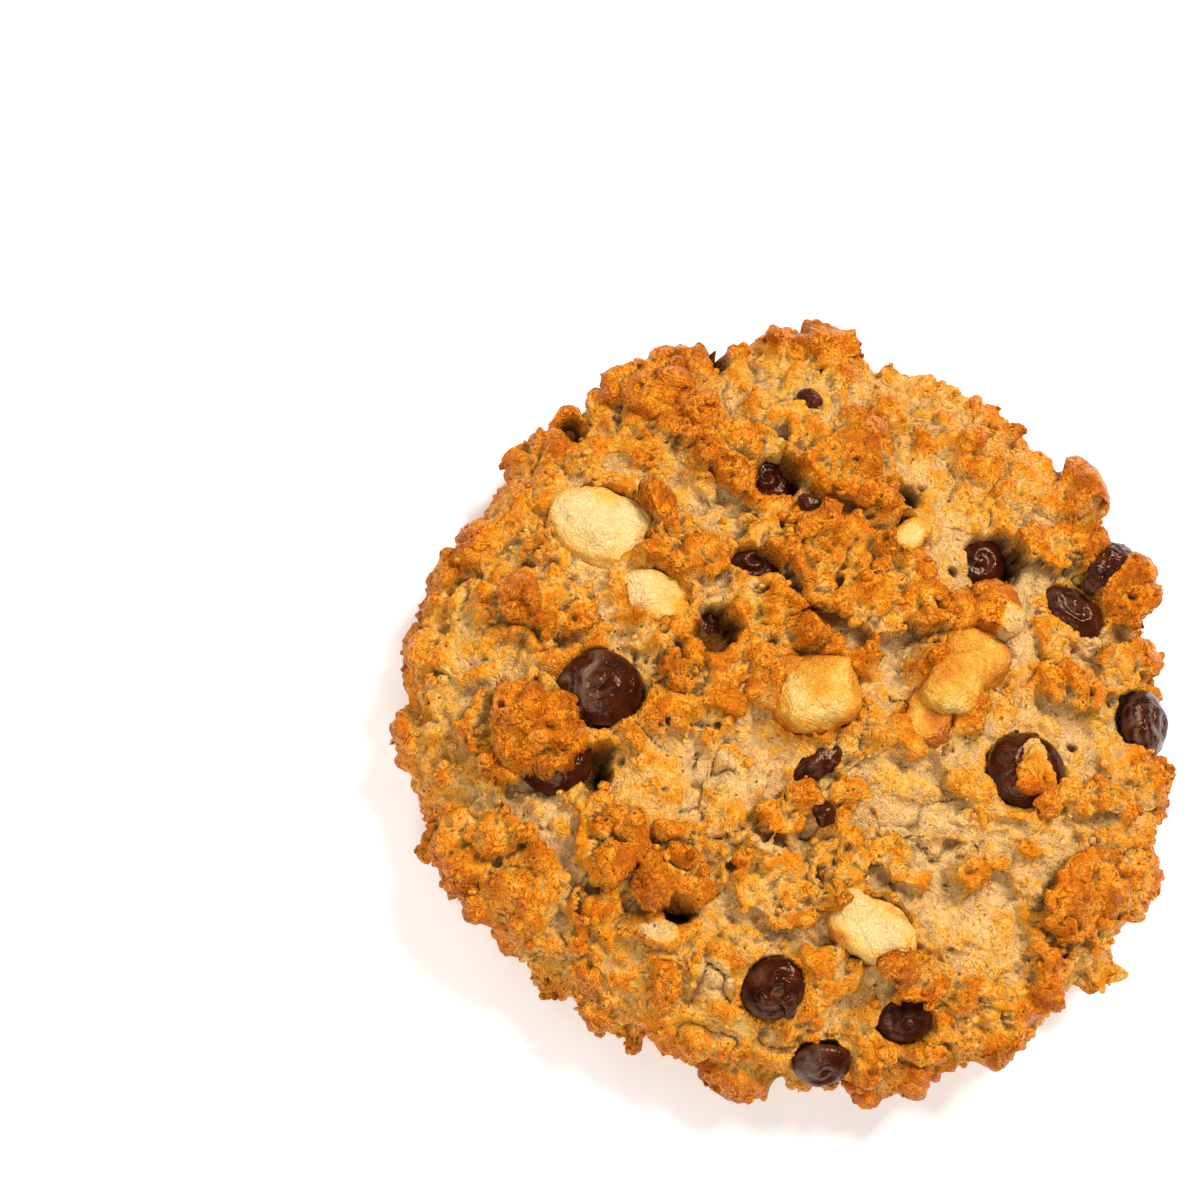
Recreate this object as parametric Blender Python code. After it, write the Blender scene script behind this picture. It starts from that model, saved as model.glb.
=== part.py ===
"""A thick drop cookie: one craggy baked dough, with dark chips and pale chunks in pockets of their own.

Sizes and places are in millimetres, with the origin under the middle of the flat base, +Z up and +X to
the viewer's right. The vertices are turned into metres when a mesh is written.
"""

import bmesh
import bpy
import numpy as np
from mathutils import Euler, Matrix, Vector

MILLIMETRE = 0.001

# Driving dimensions of the smooth cookie under the crags
MEAN_RADIUS = 42.9
CROWN_HEIGHT = 18.0
WIDEST_HEIGHT = 7.5
TOP_ROUNDING = 4.0  # superellipse power along the radius
TOP_FLATNESS = 2.67  # superellipse power along the height
BASE_TUCK = 3.0  # how far the flank draws in from its widest ring to the base
TUCK_POWER = 2.2
OUTLINE_WAVES = {2: (-0.2, -0.11), 3: (0.59, -1.14), 4: (-0.15, -0.05), 5: (0.29, -0.29)}

# Mesh fineness: rings of points down the top, the flank and the base, and the sectors round them
SECTORS = 96
TOP_RINGS = 17
FLANK_RINGS = 7
BASE_RINGS = 1
TOPPING_MESH = (12, 7)  # sectors and rings
LUMP_MESH = (8, 6)
CRUMB_MESH = (6, 4)

# Share of the path from the crown to the middle of the base that the top and the flank take
RINGS = TOP_RINGS + FLANK_RINGS + BASE_RINGS
TOP_SHARE = TOP_RINGS / RINGS
FLANK_SHARE = FLANK_RINGS / RINGS
NORMAL_STEP = 0.001  # step along the path and round it, from which a direction outwards is worked out
TINY = 1e-9  # keeps the direction upright at the two poles

# Relief
ISLAND_EDGE = 1.5
EDGE_RAGGEDNESS = 1.3
RAGGED_SIZE = 4.0
LUMP_LAYERS = ((8.0, 0.8), (4.5, 0.6))  # lump size and height
FLANK_ROUGHNESS = 1.7  # how much deeper the lumps are on the flank than on the top
SKIN_FADE = 1.5  # height over which the relief dies away to the flat base
TOP_BLEND = 4.0  # height above the widest ring over which the flank's relief gives way to the top's
SEED = 11

# Clearance between a topping and its pocket
GAP = 0.3

# Raised browned crust on the top: x, y, half length, half width, turn in degrees, height
ISLANDS = {
    "middle plateau": (0, 13.5, 8.5, 5.5, 0, 2.2),
    "far left lobe": (-7.8, 25.8, 6.5, 4.5, 0, 1.9),
    "left ridge": (-16.5, 18.8, 9, 3, -21, 2.0),
    "ridge end": (-11.9, 12.6, 2.4, 2.2, 0, 2.3),
    "ridge start": (-25.8, 20.1, 2.0, 1.6, 0, 2.0),
    "small left patch": (-17.1, 6.9, 2.6, 2.4, 0, 1.6),
    "browned left patch": (-30, -5, 4.0, 3.6, 0, 1.4),
    "left rim": (-38, 5, 9.5, 4.5, 100, 1.3),
    "far left lump": (-30, 25, 4.2, 3.6, 60, 2.0),
    "lobe over chip": (-28.0, -20.3, 5.6, 3.8, 8, 2.2),
    "near left patch": (-13, -27, 3.8, 3.5, 0, 1.6),
    "brown near lobe": (-5.3, -26.8, 4.2, 3.6, 0, 2.4),
    "near middle patch": (5, -23, 5.2, 4.8, 0, 1.8),
    "upper near patch": (10.5, -17.5, 3.2, 3.0, 0, 1.6),
    "triangular knob": (2.6, -15.5, 2.7, 2.5, 30, 2.2),
    "patch by chunk": (14.5, -14.5, 5, 2.5, -10, 1.4),
    "right knob": (23.9, -12, 2.0, 2.2, 0, 2.0),
    "knob by chip": (22, -25.2, 2.5, 1.8, -20, 1.8),
    "far right lobe": (18.5, 27.6, 4.8, 3.8, 20, 2.2),
    "knob by streak": (27, 27, 3.0, 3.0, 0, 2.0),
    "right patch": (30.5, 18, 3.2, 3.8, 0, 1.6),
    "inner right patch": (26.7, 12.8, 3.5, 2.7, 10, 1.6),
    "right nub": (34.5, 2.5, 2.3, 2.3, 0, 1.6),
    "right rim mass": (36, -8.5, 6.5, 4.5, 80, 1.8),
    "curled flake": (36.5, -17.3, 3.2, 2.0, -20, 1.6),
    "plateau knob": (7.2, 13.4, 2.2, 2.0, 0, 2.9),
    "knot": (13.7, 15, 2.4, 2.2, 0, 2.0),
    "hollow knob": (-14.3, -6, 2.2, 2.2, 0, 1.8),
    "near left roll": (-21, -34.5, 10.5, 4.5, -24, 1.2),
}

# Low pale places on the top, as for the islands, with a depth
RECESSES = {
    "right": (25.5, -15.5, 9, 5.2, -20, 1.3),
    "middle right": (14.5, -6.5, 5.8, 4.2, 0, 1.3),
    "near left": (-11.5, -19, 5.5, 5.5, 0, 1.0),
    "far right": (19, 14, 4.2, 4.0, 0, 1.0),
    "by dark hole": (8.5, 20.5, 4, 3.5, 40, 1.3),
    "behind left ridge": (-25, 13.5, 5.5, 3.2, 10, 1.2),
    "between chunks": (7.3, 2.5, 3.2, 4.2, 0, 1.5),
    "below chunk": (-2, -8.5, 7.0, 3.0, -15, 1.2),
    "behind roll": (-19, -27.5, 8, 2.4, -28, 1.4),
}

# Open holes: x, y, half length, half width, turn in degrees, depth below the skin
HOLES = {
    "far left": (-13.6, 20.4, 3.0, 2.5, 10, 4.5),
    "left slit": (-11.6, 9.5, 3.0, 1.8, 20, 4.0),
    "far right": (13.0, 23.1, 3.4, 3.3, 0, 5.0),
    "left hollow": (-12.5, 0.4, 2.8, 3.2, 20, 4.2),
    "beside big chip": (-17.6, -19.4, 1.5, 3.0, 10, 4.5),
    "brown near lobe": (-3.2, -30.6, 1.8, 1.4, 0, 3.0),
    "small far": (0.6, 25.5, 1.6, 1.4, 0, 3.0),
    "far rim": (-25.5, 33.0, 1.4, 2.2, 20, 3.5),
    "left rim": (-36.5, 17.0, 1.3, 2.0, 30, 3.0),
}

# Dark chips: x, y, long and short radius, turn in degrees, centre below the skin, tilt away from the middle
CHIPS = {
    "chip_01": (-21.1, -11.6, 4.8, 4.5, 20, 0.3, 4),
    "chip_02": (-22.4, -20.6, 4.4, 4.1, 0, 2.6, 10),
    "chip_03": (-14.4, 20.8, 3.6, 3.2, 10, 3.4, 0),
    "chip_04": (-11.7, 9.9, 3.3, 2.5, 20, 2.6, 0),
    "chip_05": (11.4, 23.4, 3.4, 3.4, 0, 2.9, 0),
    "chip_06": (23.3, 22.4, 4.2, 2.8, -8, 0.7, 12),
    "chip_07": (37.0, 15.6, 4.4, 4.0, 60, 1.0, 48),
    "chip_08": (25.2, 1.8, 4.8, 4.6, 0, 0.5, 10),
    "chip_09": (9.4, -33.2, 3.8, 3.3, 70, 0.7, 20),
    "chip_10": (24.0, -29.2, 3.4, 2.7, 20, 0.5, 30),
    "chip_11": (18.2, -37.6, 3.3, 2.9, 20, 0.6, 55),
    "chip_12": (-12.9, 2.6, 3.3, 2.6, 10, 3.3, 0),
}
CHIP_FLATTENING = 0.66
STEEP_TILT = 40  # a topping leaning out further than this sits on the flank

# Pale chunks: x, y, long and short radius, turn in degrees, centre below the skin, upright radius
CHUNKS = {
    "chunk_1": (-29.3, 5.7, 5.9, 4.9, 8, 0.2, 3.3),
    "chunk_2": (0.4, -1.6, 5.1, 4.8, 30, 0.0, 4.2),
    "chunk_3": (14.2, 9.8, 4.7, 3.7, 55, 0.0, 3.6),
    "chunk_4": (12.7, 1.9, 3.7, 3.1, 80, 0.3, 3.2),
    "chunk_5": (16.4, -23.0, 5.0, 3.8, -8, 0.4, 3.0),
    "chunk_6": (2.6, 20.3, 3.2, 2.2, 70, 0.2, 2.4),
    "chunk_7": (-19.8, 1.0, 4.6, 3.6, 20, 0.6, 3.0),
}

# Lumps fused to the rim: angle in degrees, height, radius along the rim, outwards and upright, how far out
RIM_LUMPS = {
    "far shoulder": (113, 11.0, 6.4, 3.4, 4.6, 0.0),
    "far knob": (84, 14.0, 1.4, 2.4, 1.4, 0.4),
    "far right knob": (78, 13.5, 1.4, 1.8, 1.4, 0.5),
    "far right finger": (64, 13.0, 1.6, 2.6, 1.6, 0.4),
    "right double knob": (34, 13.0, 3.0, 2.2, 2.2, 0.3),
    "right knob": (13, 9.5, 1.8, 1.5, 1.8, 0.3),
    "right bulge": (-2, 9.0, 3.2, 2.0, 3.2, 0.2),
    "right tooth": (-16, 8.0, 2.2, 2.2, 2.0, 0.6),
    "near right tooth": (-37, 9.0, 2.4, 2.0, 2.2, 0.3),
    "near right bulge": (-50, 8.0, 3.0, 2.0, 3.2, 0.1),
    "lowest lump": (-75, 6.0, 4.0, 3.0, 3.6, 0.3),
    "base tooth": (-91, 3.0, 1.6, 2.2, 1.5, 0.9),
    "near lump": (-98, 8.0, 2.6, 2.2, 2.8, 0.3),
    "near left tooth": (-106, 3.0, 1.5, 2.0, 1.4, 0.9),
    "left bulge": (-148, 8.0, 3.4, 2.0, 3.6, 0.2),
    "left shoulder": (-172, 9.0, 4.0, 2.0, 4.0, 0.0),
}

# Crumbs baked on at random: how many, and the range of their radii
RIM_CRUMBS = 32
TOP_CRUMBS = 8
CRUMB_RADII = (1.3, 2.6)
CRUMB_OUT = (-0.9, -0.1)  # range of how far out of the smooth flank a rim crumb's middle lies
CRUMB_CEILING = 15.0
CRUMB_MARGIN = 5.0  # ring inside the rim without top crumbs

# Colour, roughness
MATERIALS = {
    "baked dough": ((0.62, 0.30, 0.10), 0.55),
    "dark chip": ((0.050, 0.014, 0.007), 0.25),
    "pale chunk": ((0.86, 0.60, 0.27), 0.35),
}


def clear_scene():
    """Removes whatever the open file holds."""
    for thing in list(bpy.data.objects):
        bpy.data.objects.remove(thing, do_unlink=True)


def new_collection(name):
    """A collection linked to the scene."""
    group = bpy.data.collections.new(name)
    bpy.context.scene.collection.children.link(group)
    return group


def material(name):
    """The Principled material of that name."""
    colour, roughness = MATERIALS[name]
    made = bpy.data.materials.get(name) or bpy.data.materials.new(name)
    made.use_nodes = True
    shader = made.node_tree.nodes["Principled BSDF"]
    shader.inputs["Base Color"].default_value = (*colour, 1.0)
    shader.inputs["Roughness"].default_value = roughness
    shader.inputs["Metallic"].default_value = 0.0
    return made


def lattice_random(cells, seed):
    """A random number from 0 to 1 for each whole-number lattice cell, by mixing its three indices."""
    mixed = cells[..., 0] * 374761393 + cells[..., 1] * 668265263 + cells[..., 2] * 1442695041
    mixed = (mixed + seed * 1274126177) & 0xFFFFFFFF
    mixed = ((mixed ^ (mixed >> 15)) * 2246822519) & 0xFFFFFFFF
    mixed = ((mixed ^ (mixed >> 13)) * 3266489917) & 0xFFFFFFFF
    return ((mixed ^ (mixed >> 16)) & 0xFFFF) / 65535.0


def smooth_noise(points, size, seed):
    """Random values from -1 to 1 that change smoothly over the given size."""
    scaled = points / size
    home = np.floor(scaled).astype(np.int64)
    part = scaled - home
    ease = part * part * (3 - 2 * part)
    total = np.zeros(len(points))
    for step in np.ndindex(2, 2, 2):
        weight = np.prod(np.where(step, ease, 1 - ease), axis=1)
        total += weight * lattice_random(home + step, seed)
    return 2 * total - 1


def lump_noise(points, size, seed):
    """Round lumps of the given size with creases between them, from 0 in a crease to 1 on a lump."""
    scaled = points / size
    home = np.floor(scaled).astype(np.int64)
    nearest = np.full(len(points), 2.0)
    for step in np.ndindex(3, 3, 3):
        cell = home + step - 1
        jitter = np.stack([lattice_random(cell, seed + axis) for axis in range(3)], axis=1)
        nearest = np.minimum(nearest, np.linalg.norm(cell + jitter - scaled, axis=1))
    return np.clip(1 - nearest, 0, 1)


def ease_step(value):
    """Rises smoothly from 0 to 1 as the value goes from 0 to 1."""
    value = np.clip(value, 0, 1)
    return value * value * (3 - 2 * value)


def outline_radius(angle):
    """Radius of the smooth cookie at its widest, round the slightly three-cornered outline."""
    radius = np.full_like(angle, MEAN_RADIUS)
    for waves, (along, across) in OUTLINE_WAVES.items():
        radius += along * np.cos(waves * angle) + across * np.sin(waves * angle)
    return radius


def smooth_form(angle, fall):
    """Points on the smooth cookie, down a path from the crown (fall 0) to the middle of the base (fall 1)."""
    widest = outline_radius(angle)
    over_top = np.clip(fall / TOP_SHARE, 0, 1)
    down_flank = np.clip((fall - TOP_SHARE) / FLANK_SHARE, 0, 1)
    under = np.clip((fall - TOP_SHARE - FLANK_SHARE) / (1 - TOP_SHARE - FLANK_SHARE), 0, 1)
    share = np.sin(over_top * np.pi / 2)
    dome = np.clip(1 - share**TOP_ROUNDING, 0, 1) ** (1 / TOP_FLATNESS)
    height = WIDEST_HEIGHT * (1 - down_flank) + (CROWN_HEIGHT - WIDEST_HEIGHT) * dome
    radius = (widest * share - BASE_TUCK * down_flank**TUCK_POWER) * (1 - under)
    return np.stack([radius * np.cos(angle), radius * np.sin(angle), height], axis=1)


def form_normals(angle, fall):
    """Outward directions on the smooth cookie, across the steps to its neighbouring points."""
    around = smooth_form(angle + NORMAL_STEP, fall) - smooth_form(angle - NORMAL_STEP, fall)
    upper = smooth_form(angle, np.maximum(fall - NORMAL_STEP, 0))
    lower = smooth_form(angle, np.minimum(fall + NORMAL_STEP, 1))
    normals = np.cross(lower - upper, around)
    normals[:, 2] += np.where(fall < TOP_SHARE, TINY, -TINY)
    return normals / np.linalg.norm(normals, axis=1, keepdims=True)


def patch_rise(points, patch, seed):
    """1 inside a ragged oval patch of the top and 0 outside it."""
    x, y, half_length, half_width, turn, _ = patch
    turned = np.radians(turn)
    along = (points[:, 0] - x) * np.cos(turned) + (points[:, 1] - y) * np.sin(turned)
    across = (points[:, 1] - y) * np.cos(turned) - (points[:, 0] - x) * np.sin(turned)
    inside = (1 - np.hypot(along / half_length, across / half_width)) * half_width
    ragged = EDGE_RAGGEDNESS * smooth_noise(points, RAGGED_SIZE, seed)
    return ease_step((inside + ragged) / ISLAND_EDGE + 0.5)


def relief(points):
    """Height of the crust above the smooth form: islands, recesses and lumps, dying away at the base."""
    raised = np.zeros(len(points))
    sunk = np.zeros(len(points))
    for number, patch in enumerate(ISLANDS.values()):
        raised = np.maximum(raised, patch[-1] * patch_rise(points, patch, SEED + number))
    for number, patch in enumerate(RECESSES.values()):
        sunk = np.maximum(sunk, patch[-1] * patch_rise(points, patch, SEED - number))
    on_top = ease_step((points[:, 2] - WIDEST_HEIGHT) / TOP_BLEND)
    total = on_top * (raised - sunk * (1 - raised / raised.max()))
    deeper = on_top + FLANK_ROUGHNESS * (1 - on_top)
    for size, height in LUMP_LAYERS:
        total += height * deeper * (2 * lump_noise(points, size, SEED) - 1)
    return total * ease_step(points[:, 2] / SKIN_FADE)


def write_mesh(name, points, source):
    """A mesh with the faces of the source bmesh and these points, in metres, and its source freed."""
    mesh = bpy.data.meshes.new(name)
    source.to_mesh(mesh)
    source.free()
    mesh.vertices.foreach_set("co", np.ravel(points * MILLIMETRE))
    mesh.update()
    mesh.shade_smooth()
    return mesh


def unit_sphere(sectors, rings):
    """A sphere of radius 1 as a bmesh, with its points."""
    source = bmesh.new()
    bmesh.ops.create_uvsphere(source, u_segments=sectors, v_segments=rings, radius=1)
    return source, np.array([vertex.co for vertex in source.verts])


def mesh_points(mesh):
    """The mesh's vertices in millimetres."""
    points = np.empty(len(mesh.vertices) * 3)
    mesh.vertices.foreach_get("co", points)
    return points.reshape(-1, 3) / MILLIMETRE


def dough_body():
    """The cookie without its fused lumps: a sphere drawn onto the smooth form, then pushed out by the relief."""
    source, sphere = unit_sphere(SECTORS, RINGS)
    angle = np.arctan2(sphere[:, 1], sphere[:, 0])
    fall = np.arccos(np.clip(sphere[:, 2], -1, 1)) / np.pi
    points = smooth_form(angle, fall)
    points += form_normals(angle, fall) * relief(points)[:, None]
    points[:, 2] = np.maximum(points[:, 2], 0)
    return bpy.data.objects.new("dough", write_mesh("dough", points, source))


def skin_height(points, x, y):
    """Height of the crust at a place on the top: that of the nearest point of the body's upper half."""
    upper = points[points[:, 2] > WIDEST_HEIGHT]
    nearest = np.argmin(np.hypot(upper[:, 0] - x, upper[:, 1] - y))
    return float(upper[nearest, 2])


def flank_point(angle, height, out):
    """A point on the flank, moved out from the smooth form."""
    widest = float(outline_radius(np.array([angle]))[0])
    below = max(0.0, 1 - height / WIDEST_HEIGHT)
    above = max(0.0, (height - WIDEST_HEIGHT) / (CROWN_HEIGHT - WIDEST_HEIGHT))
    inward = BASE_TUCK * below**TUCK_POWER + widest * (1 - (1 - above**TOP_FLATNESS) ** (1 / TOP_ROUNDING))
    radius = widest - inward + out
    return Vector((radius * np.cos(angle), radius * np.sin(angle), height))


def blob(name, centre, radii, rotation, group, fineness):
    """An oval lump as its own object, with so many sectors and rings."""
    source, sphere = unit_sphere(*fineness)
    mesh = write_mesh(name, sphere / MILLIMETRE, source)
    stretch = Matrix.Diagonal([*(radius * MILLIMETRE for radius in radii), 1])
    place = Matrix.Translation(Vector(centre) * MILLIMETRE)
    mesh.transform(place @ rotation.to_matrix().to_4x4() @ stretch)
    made = bpy.data.objects.new(name, mesh)
    group.objects.link(made)
    return made


def add_rim_lumps(group):
    """The named lumps of the rim, each with its short side outwards."""
    for name, (degrees, height, along, outwards, upright, out) in RIM_LUMPS.items():
        angle = np.radians(degrees)
        centre = flank_point(angle, height, out)
        blob(name, centre, (outwards, along, upright), Euler((0, 0, angle)), group, LUMP_MESH)


def add_crumbs(group, body_points):
    """Crumbs baked onto the rim and the top, where a seeded draw puts them."""
    draw = np.random.default_rng(SEED)
    low, high = CRUMB_RADII
    for number in range(RIM_CRUMBS + TOP_CRUMBS):
        angle = draw.uniform(-np.pi, np.pi)
        radii = draw.uniform(low, high, 3)
        rotation = Euler(draw.uniform(0, np.pi, 3))
        if number < RIM_CRUMBS:
            centre = flank_point(angle, draw.uniform(high, CRUMB_CEILING), draw.uniform(*CRUMB_OUT))
        else:
            radius = (MEAN_RADIUS - CRUMB_MARGIN) * np.sqrt(draw.uniform())
            x, y = radius * np.cos(angle), radius * np.sin(angle)
            centre = Vector((x, y, skin_height(body_points, x, y)))
        blob(f"crumb {number}", centre, radii, rotation, group, CRUMB_MESH)


def evaluated_mesh(thing):
    """A new mesh of the object as its modifiers leave it."""
    bpy.context.view_layer.update()
    graph = bpy.context.evaluated_depsgraph_get()
    return bpy.data.meshes.new_from_object(thing.evaluated_get(graph))


def apply_modifiers(thing):
    """Makes the modifiers' result the object's own mesh."""
    finished = evaluated_mesh(thing)
    thing.modifiers.clear()
    thing.data = finished


def apply_boolean(thing, group, operation, solver):
    """Joins or cuts with a whole collection at once, then removes the collection's objects."""
    modifier = thing.modifiers.new(operation.title(), "BOOLEAN")
    modifier.operation = operation
    modifier.operand_type = "COLLECTION"
    modifier.collection = group
    modifier.solver = solver
    apply_modifiers(thing)
    for used in list(group.objects):
        bpy.data.objects.remove(used, do_unlink=True)


def keep_largest_piece(thing):
    """Drops loose scraps and sealed hollows, which a cut can leave."""
    shape = bmesh.new()
    shape.from_mesh(thing.data)
    waiting = set(shape.verts)
    pieces = []
    while waiting:
        piece = {waiting.pop()}
        front = list(piece)
        while front:
            reached = {edge.other_vert(vertex) for vertex in front for edge in vertex.link_edges} - piece
            piece |= reached
            front = list(reached)
        waiting -= piece
        pieces.append(piece)
    pieces.sort(key=len)
    scraps = [vertex for piece in pieces[:-1] for vertex in piece]
    bmesh.ops.delete(shape, geom=scraps, context="VERTS")
    shape.to_mesh(thing.data)
    shape.free()


def tilted(x, y, turn, tilt):
    """Turned about the upright axis, then leant outwards from the middle."""
    outwards = np.arctan2(y, x)
    lean = Matrix.Rotation(np.radians(tilt), 3, Vector((-np.sin(outwards), np.cos(outwards), 0)))
    return (lean @ Matrix.Rotation(np.radians(turn), 3, "Z")).to_euler()


def topping_place(x, y, sunk, tilt, body_points):
    """Centre of a topping: below the skin on the top, or in from the flank where it leans far out."""
    if tilt < STEEP_TILT:
        return Vector((x, y, skin_height(body_points, x, y) - sunk))
    angle = np.arctan2(y, x)
    radius = np.hypot(x, y) - sunk
    widest = float(outline_radius(np.array([angle]))[0])
    dome = (1 - min(radius / widest, 1) ** TOP_ROUNDING) ** (1 / TOP_FLATNESS)
    height = WIDEST_HEIGHT + (CROWN_HEIGHT - WIDEST_HEIGHT) * dome
    return Vector((radius * np.cos(angle), radius * np.sin(angle), height - sunk))


def add_topping(name, centre, radii, rotation, finish, group, pockets):
    """A topping in its group and, in the cutters' group, the slightly larger pocket that holds it."""
    made = blob(name, centre, radii, rotation, group, TOPPING_MESH)
    made.data.materials.append(material(finish))
    pocket_radii = [radius + GAP for radius in radii]
    blob(name + " pocket", centre, pocket_radii, rotation, pockets, TOPPING_MESH)
    return made


def add_toppings(group, pockets, body_points):
    """The dark chips and the pale chunks."""
    for name, (x, y, long, short, turn, sunk, tilt) in CHIPS.items():
        centre = topping_place(x, y, sunk, tilt, body_points)
        radii = (long, short, CHIP_FLATTENING * short)
        add_topping(name, centre, radii, tilted(x, y, turn, tilt), "dark chip", group, pockets)
    for name, (x, y, long, short, turn, sunk, upright) in CHUNKS.items():
        centre = topping_place(x, y, sunk, 0, body_points)
        add_topping(name, centre, (long, short, upright), tilted(x, y, turn, 0), "pale chunk", group, pockets)


def add_holes(pockets, body_points):
    """The open holes, as cutters whose middles lie on the skin."""
    for name, (x, y, half_length, half_width, turn, depth) in HOLES.items():
        centre = Vector((x, y, skin_height(body_points, x, y)))
        blob(name, centre, (half_length, half_width, depth), tilted(x, y, turn, 0), pockets, LUMP_MESH)


def mark_cutters(group):
    """Shows the cutters as wires and keeps them out of a render."""
    for cutter in group.objects:
        cutter.hide_render = True
        cutter.display_type = "WIRE"


def main():
    clear_scene()
    cookie = new_collection("cookie")
    lumps = new_collection("lumps")
    cutters = new_collection("cutters")

    dough = dough_body()
    cookie.objects.link(dough)
    body_points = mesh_points(dough.data)
    add_rim_lumps(lumps)
    add_crumbs(lumps, body_points)
    mark_cutters(lumps)
    apply_boolean(dough, lumps, "UNION", "MANIFOLD")

    add_toppings(cookie, cutters, body_points)
    add_holes(cutters, body_points)
    mark_cutters(cutters)
    apply_boolean(dough, cutters, "DIFFERENCE", "MANIFOLD")
    keep_largest_piece(dough)
    dough.data.materials.append(material("baked dough"))


main()
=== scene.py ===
# %% [markdown]
# # A thick drop cookie
# The cookie is one craggy baked dough with dark chips and pale chunks sunk into it. The solids of the
# construction model already hold its size and main form. Here each of them gets its real surface: torn
# crust, creases, pores, melted chips and loose crumbs. Nearly all lengths below are in millimetres, and
# become metres where a mesh is made.

import bpy
import numpy as np
from mathutils import Euler, Matrix, Vector


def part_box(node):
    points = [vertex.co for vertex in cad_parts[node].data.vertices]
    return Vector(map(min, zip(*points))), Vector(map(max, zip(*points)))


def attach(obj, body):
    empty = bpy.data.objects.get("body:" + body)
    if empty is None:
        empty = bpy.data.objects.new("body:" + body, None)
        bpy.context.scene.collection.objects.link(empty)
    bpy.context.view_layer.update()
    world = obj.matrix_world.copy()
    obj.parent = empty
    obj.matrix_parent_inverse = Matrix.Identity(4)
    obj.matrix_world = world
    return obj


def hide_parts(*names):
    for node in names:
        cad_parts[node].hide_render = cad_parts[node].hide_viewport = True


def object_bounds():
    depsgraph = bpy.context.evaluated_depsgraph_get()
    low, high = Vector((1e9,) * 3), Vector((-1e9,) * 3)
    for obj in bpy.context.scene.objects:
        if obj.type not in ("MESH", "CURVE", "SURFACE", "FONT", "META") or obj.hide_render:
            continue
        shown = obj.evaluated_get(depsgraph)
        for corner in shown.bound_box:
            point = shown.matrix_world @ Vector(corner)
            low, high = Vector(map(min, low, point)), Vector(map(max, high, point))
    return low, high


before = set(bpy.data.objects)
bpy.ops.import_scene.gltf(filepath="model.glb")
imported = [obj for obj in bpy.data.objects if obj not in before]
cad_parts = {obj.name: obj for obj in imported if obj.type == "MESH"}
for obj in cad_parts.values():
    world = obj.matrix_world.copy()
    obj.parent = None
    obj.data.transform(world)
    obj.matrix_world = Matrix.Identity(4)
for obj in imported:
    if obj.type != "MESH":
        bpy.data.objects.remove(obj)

cad_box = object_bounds()
MM = 0.001
SEED = 11
box_mm = [[round(value / MM, 1) for value in end] for end in cad_box]
print("nodes:", len(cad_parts), "box in mm:", box_mm)

# %% [markdown]
# ## Camera
# The photo looks down on the cookie from about 68 degrees above the table, with the camera rolled by 26
# degrees, so that the far side of the cookie lies towards the upper right. A long lens keeps it round.
# The camera is placed by its distance, and aimed so that the cookie lies right of and below the middle.

# %% Camera
VIEW_HEIGHT_DEG = 68.0
VIEW_ROLL_DEG = 26.0
LENS_MM = 100.0
SENSOR_MM = 36.0
PHOTO_SIDE_PX = 1200
PHOTO_SCALE_PX_MM = 8.9  # at the middle of the cookie
MIDDLE_PX = (799, 707)  # where the photo has the point 9 mm above the middle of the base
MIDDLE_POINT = np.array((0, 0, 9.0))
CLIP_START_M = 0.01


def photo_camera():
    """The camera, with the rolled axes of the view, set back and aside from the middle point."""
    height, roll = np.radians(VIEW_HEIGHT_DEG), np.radians(VIEW_ROLL_DEG)
    level_right = np.array((1, 0, 0))
    level_up = np.array((0, np.sin(height), np.cos(height)))
    right = np.cos(roll) * level_right + np.sin(roll) * level_up
    up = -np.sin(roll) * level_right + np.cos(roll) * level_up
    back = np.array((0, -np.cos(height), np.sin(height)))
    focal_px = LENS_MM / SENSOR_MM * PHOTO_SIDE_PX
    distance = focal_px / PHOTO_SCALE_PX_MM
    aside = (MIDDLE_PX[0] - PHOTO_SIDE_PX / 2) / PHOTO_SCALE_PX_MM
    below = (MIDDLE_PX[1] - PHOTO_SIDE_PX / 2) / PHOTO_SCALE_PX_MM
    place = MIDDLE_POINT - aside * right + below * up + distance * back
    data = bpy.data.cameras.new("camera")
    data.lens = LENS_MM
    data.sensor_width = SENSOR_MM
    data.clip_start = CLIP_START_M
    made = bpy.data.objects.new("camera", data)
    bpy.context.scene.collection.objects.link(made)
    axes = np.stack([right, up, back, place * MM], axis=1)
    made.matrix_world = Matrix([*axes, (0, 0, 0, 1)])
    bpy.context.scene.camera = made
    return made


camera = photo_camera()
print("camera at", [round(value, 3) for value in camera.matrix_world.translation], "m")

# %% [markdown]
# ## Noise
# Baked dough has no straight lines, so nearly every step below adds some randomness. Two kinds are enough:
# a smooth one for swelling and browning, and one made of round cells for lumps and pores. Both take whole
# arrays of points. They mix the numbers of a point's lattice cell, so the result is the same in each run.

# %% Noise functions


def lattice_random(cells, seed):
    """A random number from 0 to 1 for each whole-number lattice cell, by mixing its three indices."""
    mixed = cells[..., 0] * 374761393 + cells[..., 1] * 668265263 + cells[..., 2] * 1442695041
    mixed = (mixed + seed * 1274126177) & 0xFFFFFFFF
    mixed = ((mixed ^ (mixed >> 15)) * 2246822519) & 0xFFFFFFFF
    mixed = ((mixed ^ (mixed >> 13)) * 3266489917) & 0xFFFFFFFF
    return ((mixed ^ (mixed >> 16)) & 0xFFFF) / 65535.0


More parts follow.
